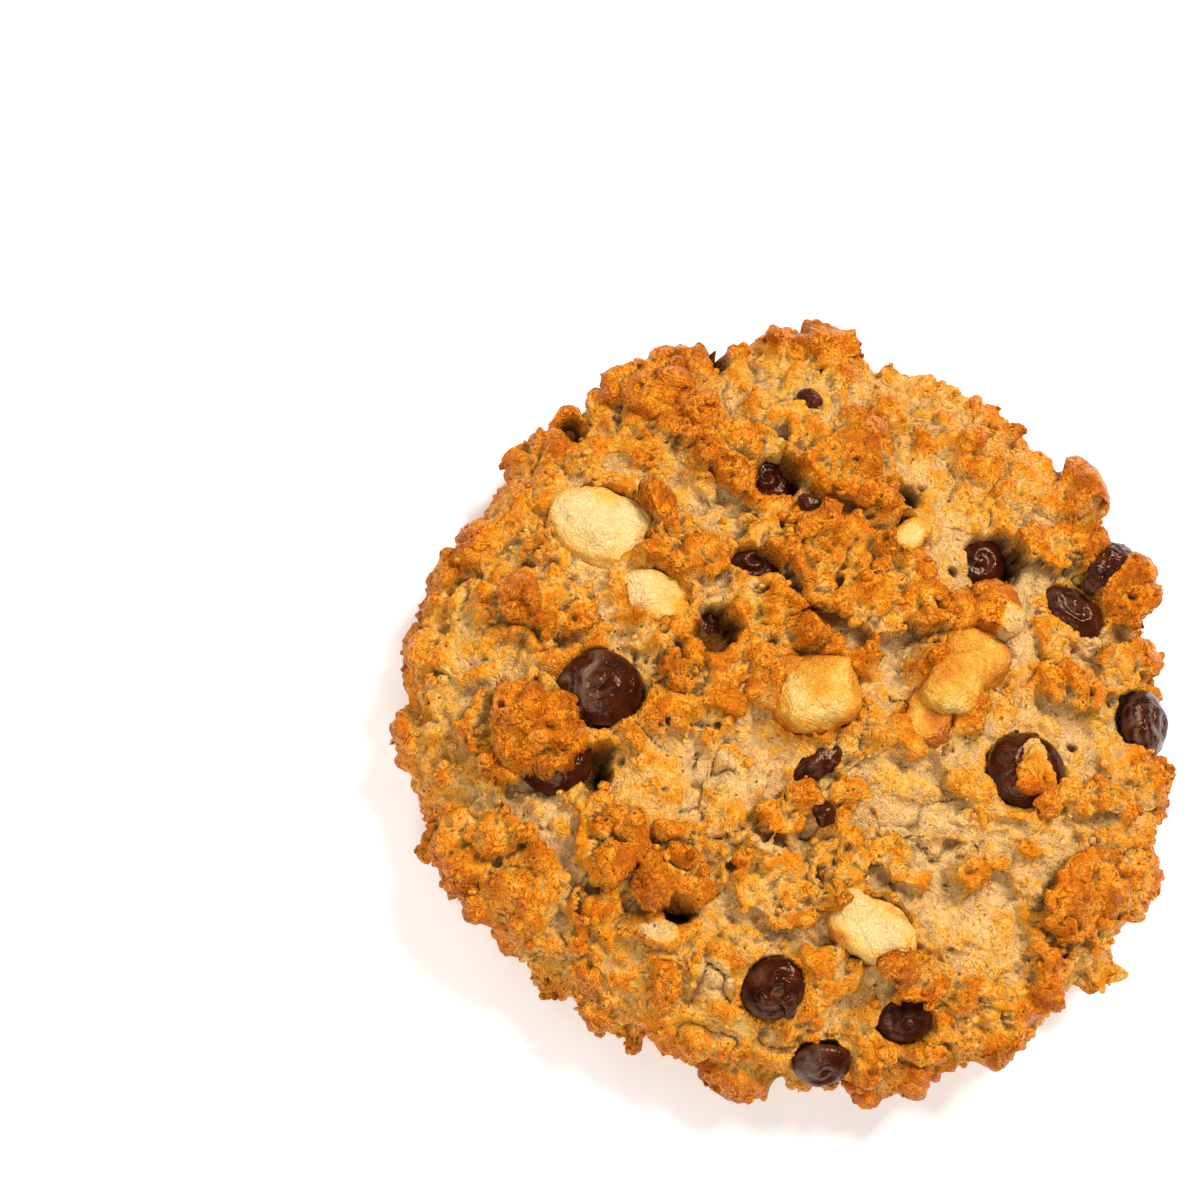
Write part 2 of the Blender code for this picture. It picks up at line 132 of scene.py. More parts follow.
def smooth_noise(points, size, seed):
    """Random values from -1 to 1, blended from the eight corners of each point's lattice cell."""
    scaled = points / size
    home = np.floor(scaled).astype(np.int64)
    part = scaled - home
    ease = part * part * (3 - 2 * part)
    total = np.zeros(len(points))
    for step in np.ndindex(2, 2, 2):
        weight = np.prod(np.where(step, ease, 1 - ease), axis=1)
        total += weight * lattice_random(home + step, seed)
    return 2 * total - 1


def rough_noise(points, size, seed, layers=3):
    """Smooth noise with finer layers on it, each half the size and half the strength of the one before."""
    return sum(smooth_noise(points, size / 2**layer, seed + 7 * layer) / 2**layer for layer in range(layers))


def lump_noise(points, size, seed):
    """Round lumps, 1 less the distance to the nearest of the random centres of the cells around a point."""
    scaled = points / size
    home = np.floor(scaled).astype(np.int64)
    nearest = np.full(len(points), 2.0)
    for step in np.ndindex(3, 3, 3):
        cell = home + step - 1
        jitter = np.stack([lattice_random(cell, seed + axis) for axis in range(3)], axis=1)
        nearest = np.minimum(nearest, np.linalg.norm(cell + jitter - scaled, axis=1))
    return np.clip(1 - nearest, 0, 1)


def swirled(points, size, amount, seed):
    """The points shifted by smooth noise, so that what is read there looks torn and not round."""
    shifts = [rough_noise(points, size, seed + axis, 2) for axis in range(3)]
    return points + amount * np.stack(shifts, axis=1)


def ease_step(value):
    """Rises smoothly from 0 to 1 as the value goes from 0 to 1: three squares less two cubes."""
    value = np.clip(value, 0, 1)
    return value * value * (3 - 2 * value)


print("noise at the middle:", smooth_noise(np.zeros((1, 3)), 5.0, SEED).round(3))

# %% [markdown]
# ## The smooth cookie
# Under its crags the cookie is a low dome with a steep flank that draws in to a flat base. The top follows a
# superellipse, a curve between an ellipse and a box, and the outline is nearly round, with a few slow waves.
# These are the construction model's own values, so that the fine surface lies where its solid lies. Only the
# spacing differs: here it follows the length along the surface, so that all places are equally fine.

# %% Smooth form
MEAN_RADIUS = 42.9
CROWN_HEIGHT = 18.0
WIDEST_HEIGHT = 7.5
TOP_ROUNDING = 4.0
TOP_FLATNESS = 2.67
BASE_TUCK = 3.0
TUCK_POWER = 2.2
OUTLINE_WAVES = {2: (-0.2, -0.11), 3: (0.59, -1.14), 4: (-0.15, -0.05), 5: (0.29, -0.29)}

profile_shares = np.linspace(0, 1, 4001)
profile_domes = (1 - profile_shares**TOP_ROUNDING) ** (1 / TOP_FLATNESS)
profile_steps = np.hypot(
    np.diff(MEAN_RADIUS * profile_shares), np.diff((CROWN_HEIGHT - WIDEST_HEIGHT) * profile_domes)
)
profile_lengths = np.concatenate([[0], np.cumsum(profile_steps)])
TOP_PATH = profile_lengths[-1]
FLANK_PATH = np.hypot(WIDEST_HEIGHT, BASE_TUCK)


def outline_radius(angle):
    """Radius of the widest ring: the mean radius and a few cosine and sine waves of the angle."""
    waves = [a * np.cos(n * angle) + b * np.sin(n * angle) for n, (a, b) in OUTLINE_WAVES.items()]
    return MEAN_RADIUS + sum(waves)


def smooth_form(angle, path):
    """Points at an angle and a length down the path: crown, widest ring, base's edge, base's middle."""
    share = np.interp(path, profile_lengths, profile_shares)
    dome = (1 - share**TOP_ROUNDING) ** (1 / TOP_FLATNESS)
    down = np.clip((path - TOP_PATH) / FLANK_PATH, 0, 1)
    inward = np.clip(1 - (path - TOP_PATH - FLANK_PATH) / MEAN_RADIUS, 0, 1)
    radius = (outline_radius(angle) * share - BASE_TUCK * down**TUCK_POWER) * inward
    height = WIDEST_HEIGHT * (1 - down) + (CROWN_HEIGHT - WIDEST_HEIGHT) * dome
    return np.stack([radius * np.cos(angle), radius * np.sin(angle), height], axis=1)


print("path over the top", round(TOP_PATH, 1), "mm and down the flank", round(FLANK_PATH, 1), "mm")

# %% [markdown]
# ## A net of points over the whole dough
# A polar grid would crowd its points at the crown. So the top is a square grid pressed into a disc, with one
# ring of the disc for each ring of the square. The flank is a band whose columns go on from the square's
# edge, and the base closes it. Cells of about a quarter of a millimetre are as fine as two pixels of the
# photo. The net is one closed surface. It is cut into three pieces only at the end, because a piece has
# at most 200,000 triangles.

# %% Net
TOP_CELLS = 312
BAND_ROWS = 78
BASE_ROWS = 4
SEAM_PATH = 40.0  # where the square ends and the band starts
BAND_END = TOP_PATH + FLANK_PATH
BASE_INSET = 16.0  # how far the base's rows go in from its edge
BASE_END = BAND_END + BASE_INSET


def square_to_disc(count):
    """Polar places of a square grid: the larger coordinate gives the ring, their ratio the angle."""
    side = np.linspace(-1, 1, count + 1)
    a, b = (grid.ravel() for grid in np.meshgrid(side, side, indexing="ij"))
    ring = np.maximum(np.abs(a), np.abs(b))
    safe = np.where(ring > 0, ring, 1)
    leaning = np.where(a > 0, b, -b) / safe * np.pi / 4 + np.where(a > 0, 0, np.pi)
    standing = np.pi / 2 - np.where(b > 0, a, -a) / safe * np.pi / 4 + np.where(b > 0, 0, np.pi)
    return np.where(np.abs(a) >= np.abs(b), leaning, standing), ring


def square_faces(count):
    """The cells of a square grid whose points are numbered column by column."""
    first = (np.arange(count)[:, None] * (count + 1) + np.arange(count)).ravel()
    return np.stack([first, first + count + 1, first + count + 2, first + 1], axis=1)


def square_edge(count):
    """The numbers of the grid's edge points, anticlockwise."""
    step = np.arange(count)
    row = count + 1
    sides = (step * row, count * row + step, (count - step) * row + count, count - step)
    return np.concatenate(sides)


def dough_net():
    """Angle and path of each point, the faces of top, band and base, and the base's last ring."""
    angle, ring = square_to_disc(TOP_CELLS)
    edge = square_edge(TOP_CELLS)
    band = np.linspace(SEAM_PATH, BAND_END, BAND_ROWS + 1)[1:]
    base = np.linspace(BAND_END, BASE_END, BASE_ROWS + 1)[1:]
    rows = np.concatenate([band, base])
    all_angles = np.concatenate([angle, np.tile(angle[edge], len(rows))])
    all_paths = np.concatenate([ring * SEAM_PATH, np.repeat(rows, len(edge))])
    numbers = len(angle) + np.arange(len(rows) * len(edge)).reshape(len(rows), len(edge))
    numbers = np.vstack([edge, numbers])
    inner, outer = numbers[:-1], numbers[1:]
    strips = np.stack([inner, outer, np.roll(outer, -1, axis=1), np.roll(inner, -1, axis=1)], axis=2)
    band_quads = strips[:BAND_ROWS].reshape(-1, 4)
    base_quads = strips[BAND_ROWS:].reshape(-1, 4)
    return all_angles, all_paths, square_faces(TOP_CELLS), band_quads, base_quads, numbers[-1]


net_angle, net_path, top_faces, band_faces, base_faces, last_ring = dough_net()
net_faces = np.concatenate([top_faces, band_faces, base_faces])
dough = smooth_form(net_angle, net_path)
print("dough net:", len(dough), "points,", 2 * len(net_faces), "triangles")

# %% [markdown]
# ## Directions and smoothing
# Two tools work on the whole net. One finds the direction outwards at each point, which is where crags grow
# to. The other averages values over neighbouring points again and again, which leaves the broad form and
# takes the small one out. A modifier could smooth too, but only a mesh, and not heights or marks.

# %% Directions and smoothing on the net


def surface_normals(points, faces):
    """The direction outwards at each point: the sum of the crossed diagonals of the faces around it."""
    corners = points[faces]
    cross = np.cross(corners[:, 2] - corners[:, 0], corners[:, 3] - corners[:, 1])
    total = [np.bincount(faces.ravel(), np.repeat(cross[:, axis], 4), len(points)) for axis in range(3)]
    normals = np.stack(total, axis=1)
    return normals / np.maximum(np.linalg.norm(normals, axis=1, keepdims=True), 1e-12)


def softened(values, faces, rounds):
    """The values, each time averaged over the faces around a point, so that only the broad form is left."""
    around = np.bincount(faces.ravel(), minlength=len(values))
    for _ in range(rounds):
        middle = values[faces].mean(axis=1)
        flat = middle.reshape(len(faces), -1)
        sums = [np.bincount(faces.ravel(), np.repeat(column, 4), len(values)) for column in flat.T]
        values = (np.stack(sums, axis=1) / np.maximum(around, 1)[:, None]).reshape(values.shape)
    return values


normals = surface_normals(dough, net_faces)
print("crown looks", normals[np.argmin(net_path)].round(2))

# %% [markdown]
# ## Crust islands and low places
# While a cookie bakes, its skin sets and browns first where it stands high. It then tears, and the paler
# crumb shows lower down. Each raised patch is an oval with a ragged edge: its place, half lengths, turn and
# height were read off the photo. The low places are the same with a depth. These are the solid's own values.

# %% Islands and recesses
ISLANDS = {
    "middle plateau": (0, 13.5, 8.5, 5.5, 0, 2.2),
    "far left lobe": (-7.8, 25.8, 6.5, 4.5, 0, 1.9),
    "left ridge": (-16.5, 18.8, 9, 3, -21, 2.0),
    "ridge end": (-11.9, 12.6, 2.4, 2.2, 0, 2.3),
    "ridge start": (-25.8, 20.1, 2.0, 1.6, 0, 2.0),
    "small left patch": (-17.1, 6.9, 2.6, 2.4, 0, 1.6),
    "browned left patch": (-30, -5, 4.0, 3.6, 0, 1.4),
    "left rim": (-38, 5, 9.5, 4.5, 100, 1.3),
    "far left lump": (-30, 25, 4.2, 3.6, 60, 2.0),
    "lobe over chip": (-28.0, -20.3, 5.6, 3.8, 8, 2.2),
    "near left patch": (-13, -27, 3.8, 3.5, 0, 1.6),
    "brown near lobe": (-5.3, -26.8, 4.2, 3.6, 0, 2.4),
    "near middle patch": (5, -23, 5.2, 4.8, 0, 1.8),
    "upper near patch": (10.5, -17.5, 3.2, 3.0, 0, 1.6),
    "triangular knob": (2.6, -15.5, 2.7, 2.5, 30, 2.2),
    "patch by chunk": (14.5, -14.5, 5, 2.5, -10, 1.4),
    "right knob": (23.9, -12, 2.0, 2.2, 0, 2.0),
    "knob by chip": (22, -25.2, 2.5, 1.8, -20, 1.8),
    "far right lobe": (18.5, 27.6, 4.8, 3.8, 20, 2.2),
    "knob by streak": (27, 27, 3.0, 3.0, 0, 2.0),
    "right patch": (30.5, 18, 3.2, 3.8, 0, 1.6),
    "inner right patch": (26.7, 12.8, 3.5, 2.7, 10, 1.6),
    "right nub": (34.5, 2.5, 2.3, 2.3, 0, 1.6),
    "right rim mass": (36, -8.5, 6.5, 4.5, 80, 1.8),
    "curled flake": (36.5, -17.3, 3.2, 2.0, -20, 1.6),
    "plateau knob": (7.2, 13.4, 2.2, 2.0, 0, 2.9),
    "knot": (13.7, 15, 2.4, 2.2, 0, 2.0),
    "hollow knob": (-14.3, -6, 2.2, 2.2, 0, 1.8),
    "near left roll": (-21, -34.5, 10.5, 4.5, -24, 1.2),
}
RECESSES = {
    "right": (25.5, -15.5, 9, 5.2, -20, 1.3),
    "middle right": (14.5, -6.5, 5.8, 4.2, 0, 1.3),
    "near left": (-11.5, -19, 5.5, 5.5, 0, 1.0),
    "far right": (19, 14, 4.2, 4.0, 0, 1.0),
    "by dark hole": (8.5, 20.5, 4, 3.5, 40, 1.3),
    "behind left ridge": (-25, 13.5, 5.5, 3.2, 10, 1.2),
    "between chunks": (7.3, 2.5, 3.2, 4.2, 0, 1.5),
    "below chunk": (-2, -8.5, 7.0, 3.0, -15, 1.2),
    "behind roll": (-19, -27.5, 8, 2.4, -28, 1.4),
}
ISLAND_EDGE = 0.8
EDGE_RAGGEDNESS = 1.3
RAGGED_SIZE = 4.0
FINE_RAGGEDNESS = 0.7
FINE_RAGGED_SIZE = 1.8
TOP_BLEND = 4.0
SKIN_FADE = 1.5
LUMP_LAYERS = ((8.0, 0.8), (4.5, 0.6))
FLANK_ROUGHNESS = 1.7


def oval_reach(points, x, y, half_length, half_width, turn):
    """Distance from an oval's middle, measured along its axes, where 1 is the oval's outline."""
    turned = np.radians(turn)
    along = (points[:, 0] - x) * np.cos(turned) + (points[:, 1] - y) * np.sin(turned)
    across = (points[:, 1] - y) * np.cos(turned) - (points[:, 0] - x) * np.sin(turned)
    return np.hypot(along / half_length, across / half_width)


def patch_rise(points, patch, seed, fine):
    """1 inside a patch and 0 outside, over a short edge that coarse and fine noise push in and out."""
    inside = (1 - oval_reach(points, *patch[:5])) * patch[3]
    ragged = EDGE_RAGGEDNESS * smooth_noise(points, RAGGED_SIZE, seed)
    return ease_step((inside + ragged + fine) / ISLAND_EDGE + 0.5)


fine_edge = FINE_RAGGEDNESS * rough_noise(dough, FINE_RAGGED_SIZE, SEED + 50, 3)
raised = np.zeros(len(dough))
sunk = np.zeros(len(dough))
for number, patch in enumerate(ISLANDS.values()):
    raised = np.maximum(raised, patch[-1] * patch_rise(dough, patch, SEED + number, fine_edge))
for number, patch in enumerate(RECESSES.values()):
    sunk = np.maximum(sunk, patch[-1] * patch_rise(dough, patch, SEED - number, fine_edge))
on_top = ease_step((dough[:, 2] - WIDEST_HEIGHT) / TOP_BLEND)
raised *= on_top * (0.92 + 0.25 * smooth_noise(dough, 5.0, SEED + 52))
sunk *= on_top * (1 - raised / raised.max())
print("raised share of the net:", round(float((raised > 0.5).mean()), 2))

# %% [markdown]
# ## Broad lumps and knobs
# Between the patches the dough swells in round lumps of 4 to 8 mm, more on the flank than on the top. They
# come from the cell noise, with the construction model's sizes and seed, and fade out at the base, which lay
# on the baking tray and is flat. The knobs of the rim are ovals half sunk in the dough. Where such an oval
# stands out, the skin is lifted along its own direction until it lies on the oval, which joins the two forms
# without a seam.

# %% Raise the islands and lumps
lumps = sum(height * (2 * lump_noise(dough, size, SEED) - 1) for size, height in LUMP_LAYERS)
lumps *= on_top + FLANK_ROUGHNESS * (1 - on_top)
standing = ease_step(dough[:, 2] / SKIN_FADE)
relief = (raised - sunk + lumps) * standing
dough += normals * relief[:, None]
elevation = relief.copy()
print("relief from", round(float(relief.min()), 1), "to", round(float(relief.max()), 1), "mm")

# %% [markdown]
# ## Knobs, crumbs and overlaps
# The rim's knobs and its largest crumbs are fused to the dough in the solid, so here they are too, drawn in
# the same order from the same seed. Eight more ovals are crust that ran over a chip or a chunk, or up
# against one. As separate balls they would meet the dough in a sharp line, so the skin is lifted onto them.

# %% Knobs and crumbs of the construction model
RIM_LUMPS = {  # angle in degrees, height, radius along the rim, outwards and upright, how far out
    "far shoulder": (113, 11.0, 6.4, 3.4, 4.6, 0.0),
    "far knob": (84, 14.0, 1.4, 2.4, 1.4, 0.4),
    "far right knob": (78, 13.5, 1.4, 1.8, 1.4, 0.5),
    "far right finger": (64, 13.0, 1.6, 2.6, 1.6, 0.4),
    "right double knob": (34, 13.0, 3.0, 2.2, 2.2, 0.3),
    "right knob": (13, 9.5, 1.8, 1.5, 1.8, 0.3),
    "right bulge": (-2, 9.0, 3.2, 2.0, 3.2, 0.2),
    "right tooth": (-16, 8.0, 2.2, 2.2, 2.0, 0.6),
    "near right tooth": (-37, 9.0, 2.4, 2.0, 2.2, 0.3),
    "near right bulge": (-50, 8.0, 3.0, 2.0, 3.2, 0.1),
    "lowest lump": (-75, 6.0, 4.0, 3.0, 3.6, 0.3),
    "base tooth": (-91, 3.0, 1.6, 2.2, 1.5, 0.9),
    "near lump": (-98, 8.0, 2.6, 2.2, 2.8, 0.3),
    "near left tooth": (-106, 3.0, 1.5, 2.0, 1.4, 0.9),
    "left bulge": (-148, 8.0, 3.4, 2.0, 3.6, 0.2),
    "left shoulder": (-172, 9.0, 4.0, 2.0, 4.0, 0.0),
}
RIM_CRUMBS = 32
TOP_CRUMBS = 8
CRUMB_RADII = (1.3, 2.6)
CRUMB_OUT = (-0.9, -0.1)
CRUMB_CEILING = 15.0
CRUMB_MARGIN = 5.0


def flank_point(angle, height, out):
    """A point on the flank of the smooth form, moved outwards."""
    widest = outline_radius(angle)
    below = max(0.0, 1 - height / WIDEST_HEIGHT)
    above = max(0.0, (height - WIDEST_HEIGHT) / (CROWN_HEIGHT - WIDEST_HEIGHT))
    inward = BASE_TUCK * below**TUCK_POWER + widest * (1 - (1 - above**TOP_FLATNESS) ** (1 / TOP_ROUNDING))
    radius = widest - inward + out
    return np.array((radius * np.cos(angle), radius * np.sin(angle), height))


def skin_point(x, y):
    """The net's point nearest to a place on the top."""
    away = np.hypot(dough[:, 0] - x, dough[:, 1] - y) + 100 * (dough[:, 2] < WIDEST_HEIGHT)
    return dough[np.argmin(away)]


def model_lumps():
    """Middle, axes and radii of each fused lump and crumb, by the same seeded draw as in the solid."""
    found = []
    for degrees, height, along, outwards, upright, out in RIM_LUMPS.values():
        angle = np.radians(degrees)
        axes = np.array(Matrix.Rotation(angle, 3, "Z"))
        found.append((flank_point(angle, height, out), axes, np.array((outwards, along, upright))))
    draw = np.random.default_rng(SEED)
    low, high = CRUMB_RADII
    for number in range(RIM_CRUMBS + TOP_CRUMBS):
        angle = draw.uniform(-np.pi, np.pi)
        radii = draw.uniform(low, high, 3)
        axes = np.array(Euler(draw.uniform(0, np.pi, 3)).to_matrix())
        if number < RIM_CRUMBS:
            middle = flank_point(angle, draw.uniform(high, CRUMB_CEILING), draw.uniform(*CRUMB_OUT))
        else:
            radius = (MEAN_RADIUS - CRUMB_MARGIN) * np.sqrt(draw.uniform())
            middle = skin_point(radius * np.cos(angle), radius * np.sin(angle))
        found.append((middle, axes, radii))
    return found


def lift_onto(points, directions, middle, axes, radii):
    """How far each point is, along its direction, from an oval's far side: a quadratic's larger root."""
    start = (points - middle) @ axes / radii
    heading = directions @ axes / radii
    square = (heading**2).sum(axis=1)
    half = (start * heading).sum(axis=1)
    inside = half**2 - square * ((start**2).sum(axis=1) - 1)
    reach = (np.sqrt(np.maximum(inside, 0)) - half) / square
    close = np.linalg.norm(points - middle, axis=1) < 3 * radii.max()
    return np.where((inside > 0) & close, reach, 0)


COVERS = {  # crust over a topping: x, y, half length, half width, half height, turn, middle above skin
    "over near left chip": (-25.8, -19.2, 6.0, 5.2, 2.6, -25, 0.7),
    "over middle chunk": (-1.6, 4.3, 3.4, 2.4, 2.8, -25, 0.9),
    "beside middle chunk": (3.9, 4.6, 2.6, 1.7, 2.2, 70, 1.2),
    "beside right chunk": (10.4, 7.0, 2.2, 1.8, 2.0, 40, 1.0),
    "below right chunk": (12.8, 5.6, 2.6, 1.4, 1.9, -10, 0.9),
    "by near chunk": (20.4, -26.4, 2.6, 1.8, 1.3, -10, 0.3),
    "left of near chunk": (11.2, -21.2, 2.4, 2.0, 1.8, 60, 0.7),
    "by left chunk": (-24.0, 9.8, 2.8, 1.6, 1.8, -40, 0.8),
}


def cover_lumps():
    """Middle, axes and radii of each such lobe."""
    found = []
    for x, y, half_length, half_width, upright, turn, above in COVERS.values():
        axes = np.array(Matrix.Rotation(np.radians(turn), 3, "Z"))
        middle = skin_point(x, y) + (0, 0, above)
        found.append((np.array((x, y, middle[2])), axes, np.array((half_length, half_width, upright))))
    return found


directions = softened(surface_normals(dough, net_faces), net_faces, 15)
directions /= np.linalg.norm(directions, axis=1, keepdims=True)
lift = np.zeros(len(dough))
for middle, axes, radii in model_lumps() + cover_lumps():
    lift = np.maximum(lift, lift_onto(dough, directions, middle, axes, radii))
lift = softened(lift, net_faces, 2) * standing * (0.85 + 0.20 * rough_noise(dough, 3.0, SEED + 33, 2))
dough += lift[:, None] * directions
elevation += 0.6 * lift
print("knobs lift up to", round(float(lift.max()), 1), "mm on", int((lift > 0.3).sum()), "points")

# %% [markdown]
# ## Torn terraces
# Between the large patches the skin is torn at smaller scales too: flat-topped scraps 2 to 6 mm wide that
# end in small ragged cliffs. A level cut through swirled noise gives such outlines. The scraps are pushed
# out along the surface's own direction, and at a cliff the upper edge is pushed further and the foot pulled
# in, which makes the thin dark undercuts of the real crust. The distance of other noise from zero adds
# rounded lobes with creases between them, and some of the creases open into cracks.

# %% Terraces
TERRACES = ((7.0, 0.05, 0.85), (3.2, 0.10, 0.36))  # size, level, height
TERRACE_EDGE = 0.12
LOBES = ((6.0, 1.25), (2.8, 0.45), (1.3, 0.14))  # size, height
MEAN_LOBE = 0.27  # of the lobes' noise
MEAN_SCRAP = 0.55
FLANK_DRAW_IN = 0.75  # keeps the crags of the flank inside the solid's outline
FULL_SIDES = ((-50, 20), (57, 13), (0, 9))  # angle and width of the sides that aren't drawn in, in degrees
LIP = 0.40
CRACK_DEPTH = 0.5
CRACK_WIDTH = 0.045  # of the noise's own units
CRACKED_ABOVE = 0.2  # cracks open only where a slow noise is above this
STRETCH_CALM = 0.6  # how much smoother the skin is where a knob stretched it


def terrace(points, size, level, seed):
    """1 where swirled noise stands above a level and 0 where it is below, over a steep edge."""
    value = rough_noise(swirled(points, size, 0.35 * size, seed), size, seed + 3, 3)
    return ease_step((value - level) / TERRACE_EDGE + 0.5)


def lobes(points, size, seed):
    """How far swirled noise is from zero: rounded, branching lobes with sharp creases between them."""
    return np.abs(rough_noise(swirled(points, size, 0.4 * size, seed), size, seed + 3, 2))


scraps = [
    terrace(dough, size, level, SEED + 20 * number) for number, (size, level, _) in enumerate(TERRACES)
]
scrap_height = sum(height * scrap for (_, _, height), scrap in zip(TERRACES, scraps)) - MEAN_SCRAP
swells = [lobes(dough, size, SEED + 140 + 9 * number) for number, (size, _) in enumerate(LOBES)]
lobe_height = sum(2.2 * height * (swell - MEAN_LOBE) for (_, height), swell in zip(LOBES, swells))
cracks = ease_step(1 - swells[0] / CRACK_WIDTH) * (smooth_noise(dough, 7.0, SEED + 170) > CRACKED_ABOVE)
island_share = np.clip(raised / 1.6, 0, 1)
calm = 1 - 0.45 * np.clip(sunk, 0, 1)
normals = surface_normals(dough, net_faces)
broad_normals = softened(normals, net_faces, 12)
steepness = np.clip(5 * (1 - np.abs((normals * broad_normals).sum(axis=1))), 0, 1)
lip = LIP * (2 * island_share - 1) * steepness * on_top
stretched = np.clip(lift / 2, 0, 1) * (1 - on_top)
turned_from = [np.remainder(np.degrees(net_angle) - angle + 180, 360) - 180 for angle, _ in FULL_SIDES]
fullness = sum(np.exp(-((turn / width) ** 2)) for turn, (_, width) in zip(turned_from, FULL_SIDES))
draw_in = FLANK_DRAW_IN * (1 - on_top) * (1 - np.clip(fullness, 0, 1))
rise = (scrap_height + lobe_height) * calm * (1 - STRETCH_CALM * stretched)
rise = rise + lip - draw_in - CRACK_DEPTH * cracks
dough += softened(normals, net_faces, 3) * (rise * standing)[:, None]
elevation += rise + draw_in
print("terraces and lobes from", round(float(rise.min()), 2), "to", round(float(rise.max()), 2), "mm")

# %% [markdown]
# ## Pockets and holes
# The dough baked around its chips and chunks and then shrank from them a little, which leaves a shaded gap
# round each, and the inside of each pocket also gets painted shade, darker for chips than for chunks. So
# each
# topping presses a pocket into the net: in the topping's own axes, the dough under its outline is pushed
# down to just below its lower side. Against a chunk the dough first rises in a collar, and under a lobe of
# crust that covers a topping no pocket is pressed. Some chips lie deep in burst bubbles. Those are ragged
# ovals pushed down from the skin, and the chip shows at the bottom.

# %% Toppings' places
CHIP_FLATTENING = 0.66
CHIPS = {  # long and short radius, turn, tilt away from the middle, as in the construction model
    "chip_01": (4.8, 4.5, 20, 4),
    "chip_02": (4.4, 4.1, 0, 10),
    "chip_03": (3.6, 3.2, 10, 0),
    "chip_04": (3.3, 2.5, 20, 0),
    "chip_05": (3.4, 3.4, 0, 0),
    "chip_06": (4.2, 2.8, -8, 12),
    "chip_07": (4.4, 4.0, 60, 48),
    "chip_08": (4.8, 4.6, 0, 10),
    "chip_09": (3.8, 3.3, 70, 20),
    "chip_10": (3.4, 2.7, 20, 30),
    "chip_11": (3.3, 2.9, 20, 55),
    "chip_12": (3.3, 2.6, 10, 0),
}
CHUNKS = {  # long and short radius, turn, upright radius
    "chunk_1": (5.9, 4.9, 8, 3.3),
    "chunk_2": (5.1, 4.8, 30, 4.2),
    "chunk_3": (4.7, 3.7, 55, 3.6),
    "chunk_4": (3.7, 3.1, 80, 3.2),
    "chunk_5": (5.0, 3.8, -8, 3.0),
    "chunk_6": (3.2, 2.2, 70, 2.4),
    "chunk_7": (4.6, 3.6, 20, 3.0),
}
DEEP_CHIPS = ("chip_03", "chip_04", "chip_05", "chip_12")
HOLES = {  # x, y, half length, half width, turn, depth below the skin
    "far left": (-13.6, 20.4, 3.0, 2.5, 10, 5.0),
    "left slit": (-11.6, 9.5, 3.0, 1.8, 20, 4.5),
    "far right": (13.0, 23.1, 3.4, 3.3, 0, 5.5),
    "left hollow": (-12.5, 0.4, 2.8, 3.2, 20, 4.6),
    "beside big chip": (-17.6, -19.4, 1.5, 3.0, 10, 4.5),
    "brown near lobe": (-3.2, -30.6, 1.8, 1.4, 0, 3.0),
    "small far": (0.6, 25.5, 1.6, 1.4, 0, 3.0),
    "far rim": (-25.5, 33.0, 1.4, 2.2, 20, 3.5),
    "left rim": (-36.5, 17.0, 1.3, 2.0, 30, 3.0),
}


def node_middle(node):
    """Middle of a node's box, which for an oval solid is its own middle, in millimetres."""
    low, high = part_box(node)
    return (np.array(low) + np.array(high)) / 2 / MM


def turned_axes(middle, turn, tilt):
    """Axes of a topping: turned about the upright, then leant outwards from the cookie's middle."""
    outwards = np.arctan2(middle[1], middle[0])
    lean = Matrix.Rotation(np.radians(tilt), 3, Vector((-np.sin(outwards), np.cos(outwards), 0)))
    return np.array(lean @ Matrix.Rotation(np.radians(turn), 3, "Z"))


toppings = {}
for node, (long, short, turn, tilt) in CHIPS.items():
    middle = node_middle(node)
    radii = np.array((long, short, CHIP_FLATTENING * short))
    toppings[node] = (middle, turned_axes(middle, turn, tilt), radii)
for node, (long, short, turn, upright) in CHUNKS.items():
    middle = node_middle(node)
    toppings[node] = (middle, turned_axes(middle, turn, 0), np.array((long, short, upright)))
print("toppings:", len(toppings))

# %% Press the pockets and holes
POCKET_GAP = 0.25  # below the topping
CHIP_LAP = 0.94  # the skin laps over a topping's edge down to this share of its outline
CHUNK_LAP = 0.80
CHIP_RAGGEDNESS = 0.12
CHUNK_RAGGEDNESS = 0.20
POCKET_EDGE = 0.10
POCKET_REACH = 7.0  # how far above or below a topping its pocket acts
POCKET_SHIFTS = {"chunk_2": (0.3, -0.6), "chunk_3": (0.6, 0.6)}
COLLAR_HEIGHT = 1.7  # how far the dough rises against a chunk
COLLAR_START = 0.95  # as a share of the chunk's outline
COLLAR_REACH = 0.42
# Painted shade inside the pockets, for chips and for chunks:
CHIP_SHADE = 0.8  # how dark a pocket is inside
CHUNK_SHADE = 0.25
HOLE_EDGE = 0.5
HOLE_RAGGEDNESS = 0.25
HOLE_BOTTOM = 2.0  # no hole goes lower than this above the table

hole_depth = np.zeros(len(dough))
pocket_shade = np.zeros(len(dough))
edge_noise = rough_noise(dough, 2.4, SEED + 90, 3)
for x, y, half_length, half_width, turn, depth in HOLES.values():
    reach = oval_reach(dough, x, y, half_length, half_width, turn) + HOLE_RAGGEDNESS * edge_noise
    hole_depth = np.maximum(hole_depth, on_top * depth * ease_step((1.1 - reach) / HOLE_EDGE))
for node in CHUNKS:
    middle, axes, radii = toppings[node]
    local = (dough - middle) @ axes
    reach = np.hypot(*(local[:, :2] / radii[:2]).T)
    falling = np.exp(-((np.maximum(reach - COLLAR_START, 0) / COLLAR_REACH) ** 2))
    dough[:, 2] += COLLAR_HEIGHT * falling * (0.7 + 0.5 * edge_noise)
covered = np.zeros(len(dough))
for x, y, half_length, half_width, _, turn, _ in COVERS.values():
    reach = oval_reach(dough, x, y, half_length, half_width, turn) + 0.15 * edge_noise
    covered = np.maximum(covered, ease_step((1 - reach) / 0.2 + 0.5))
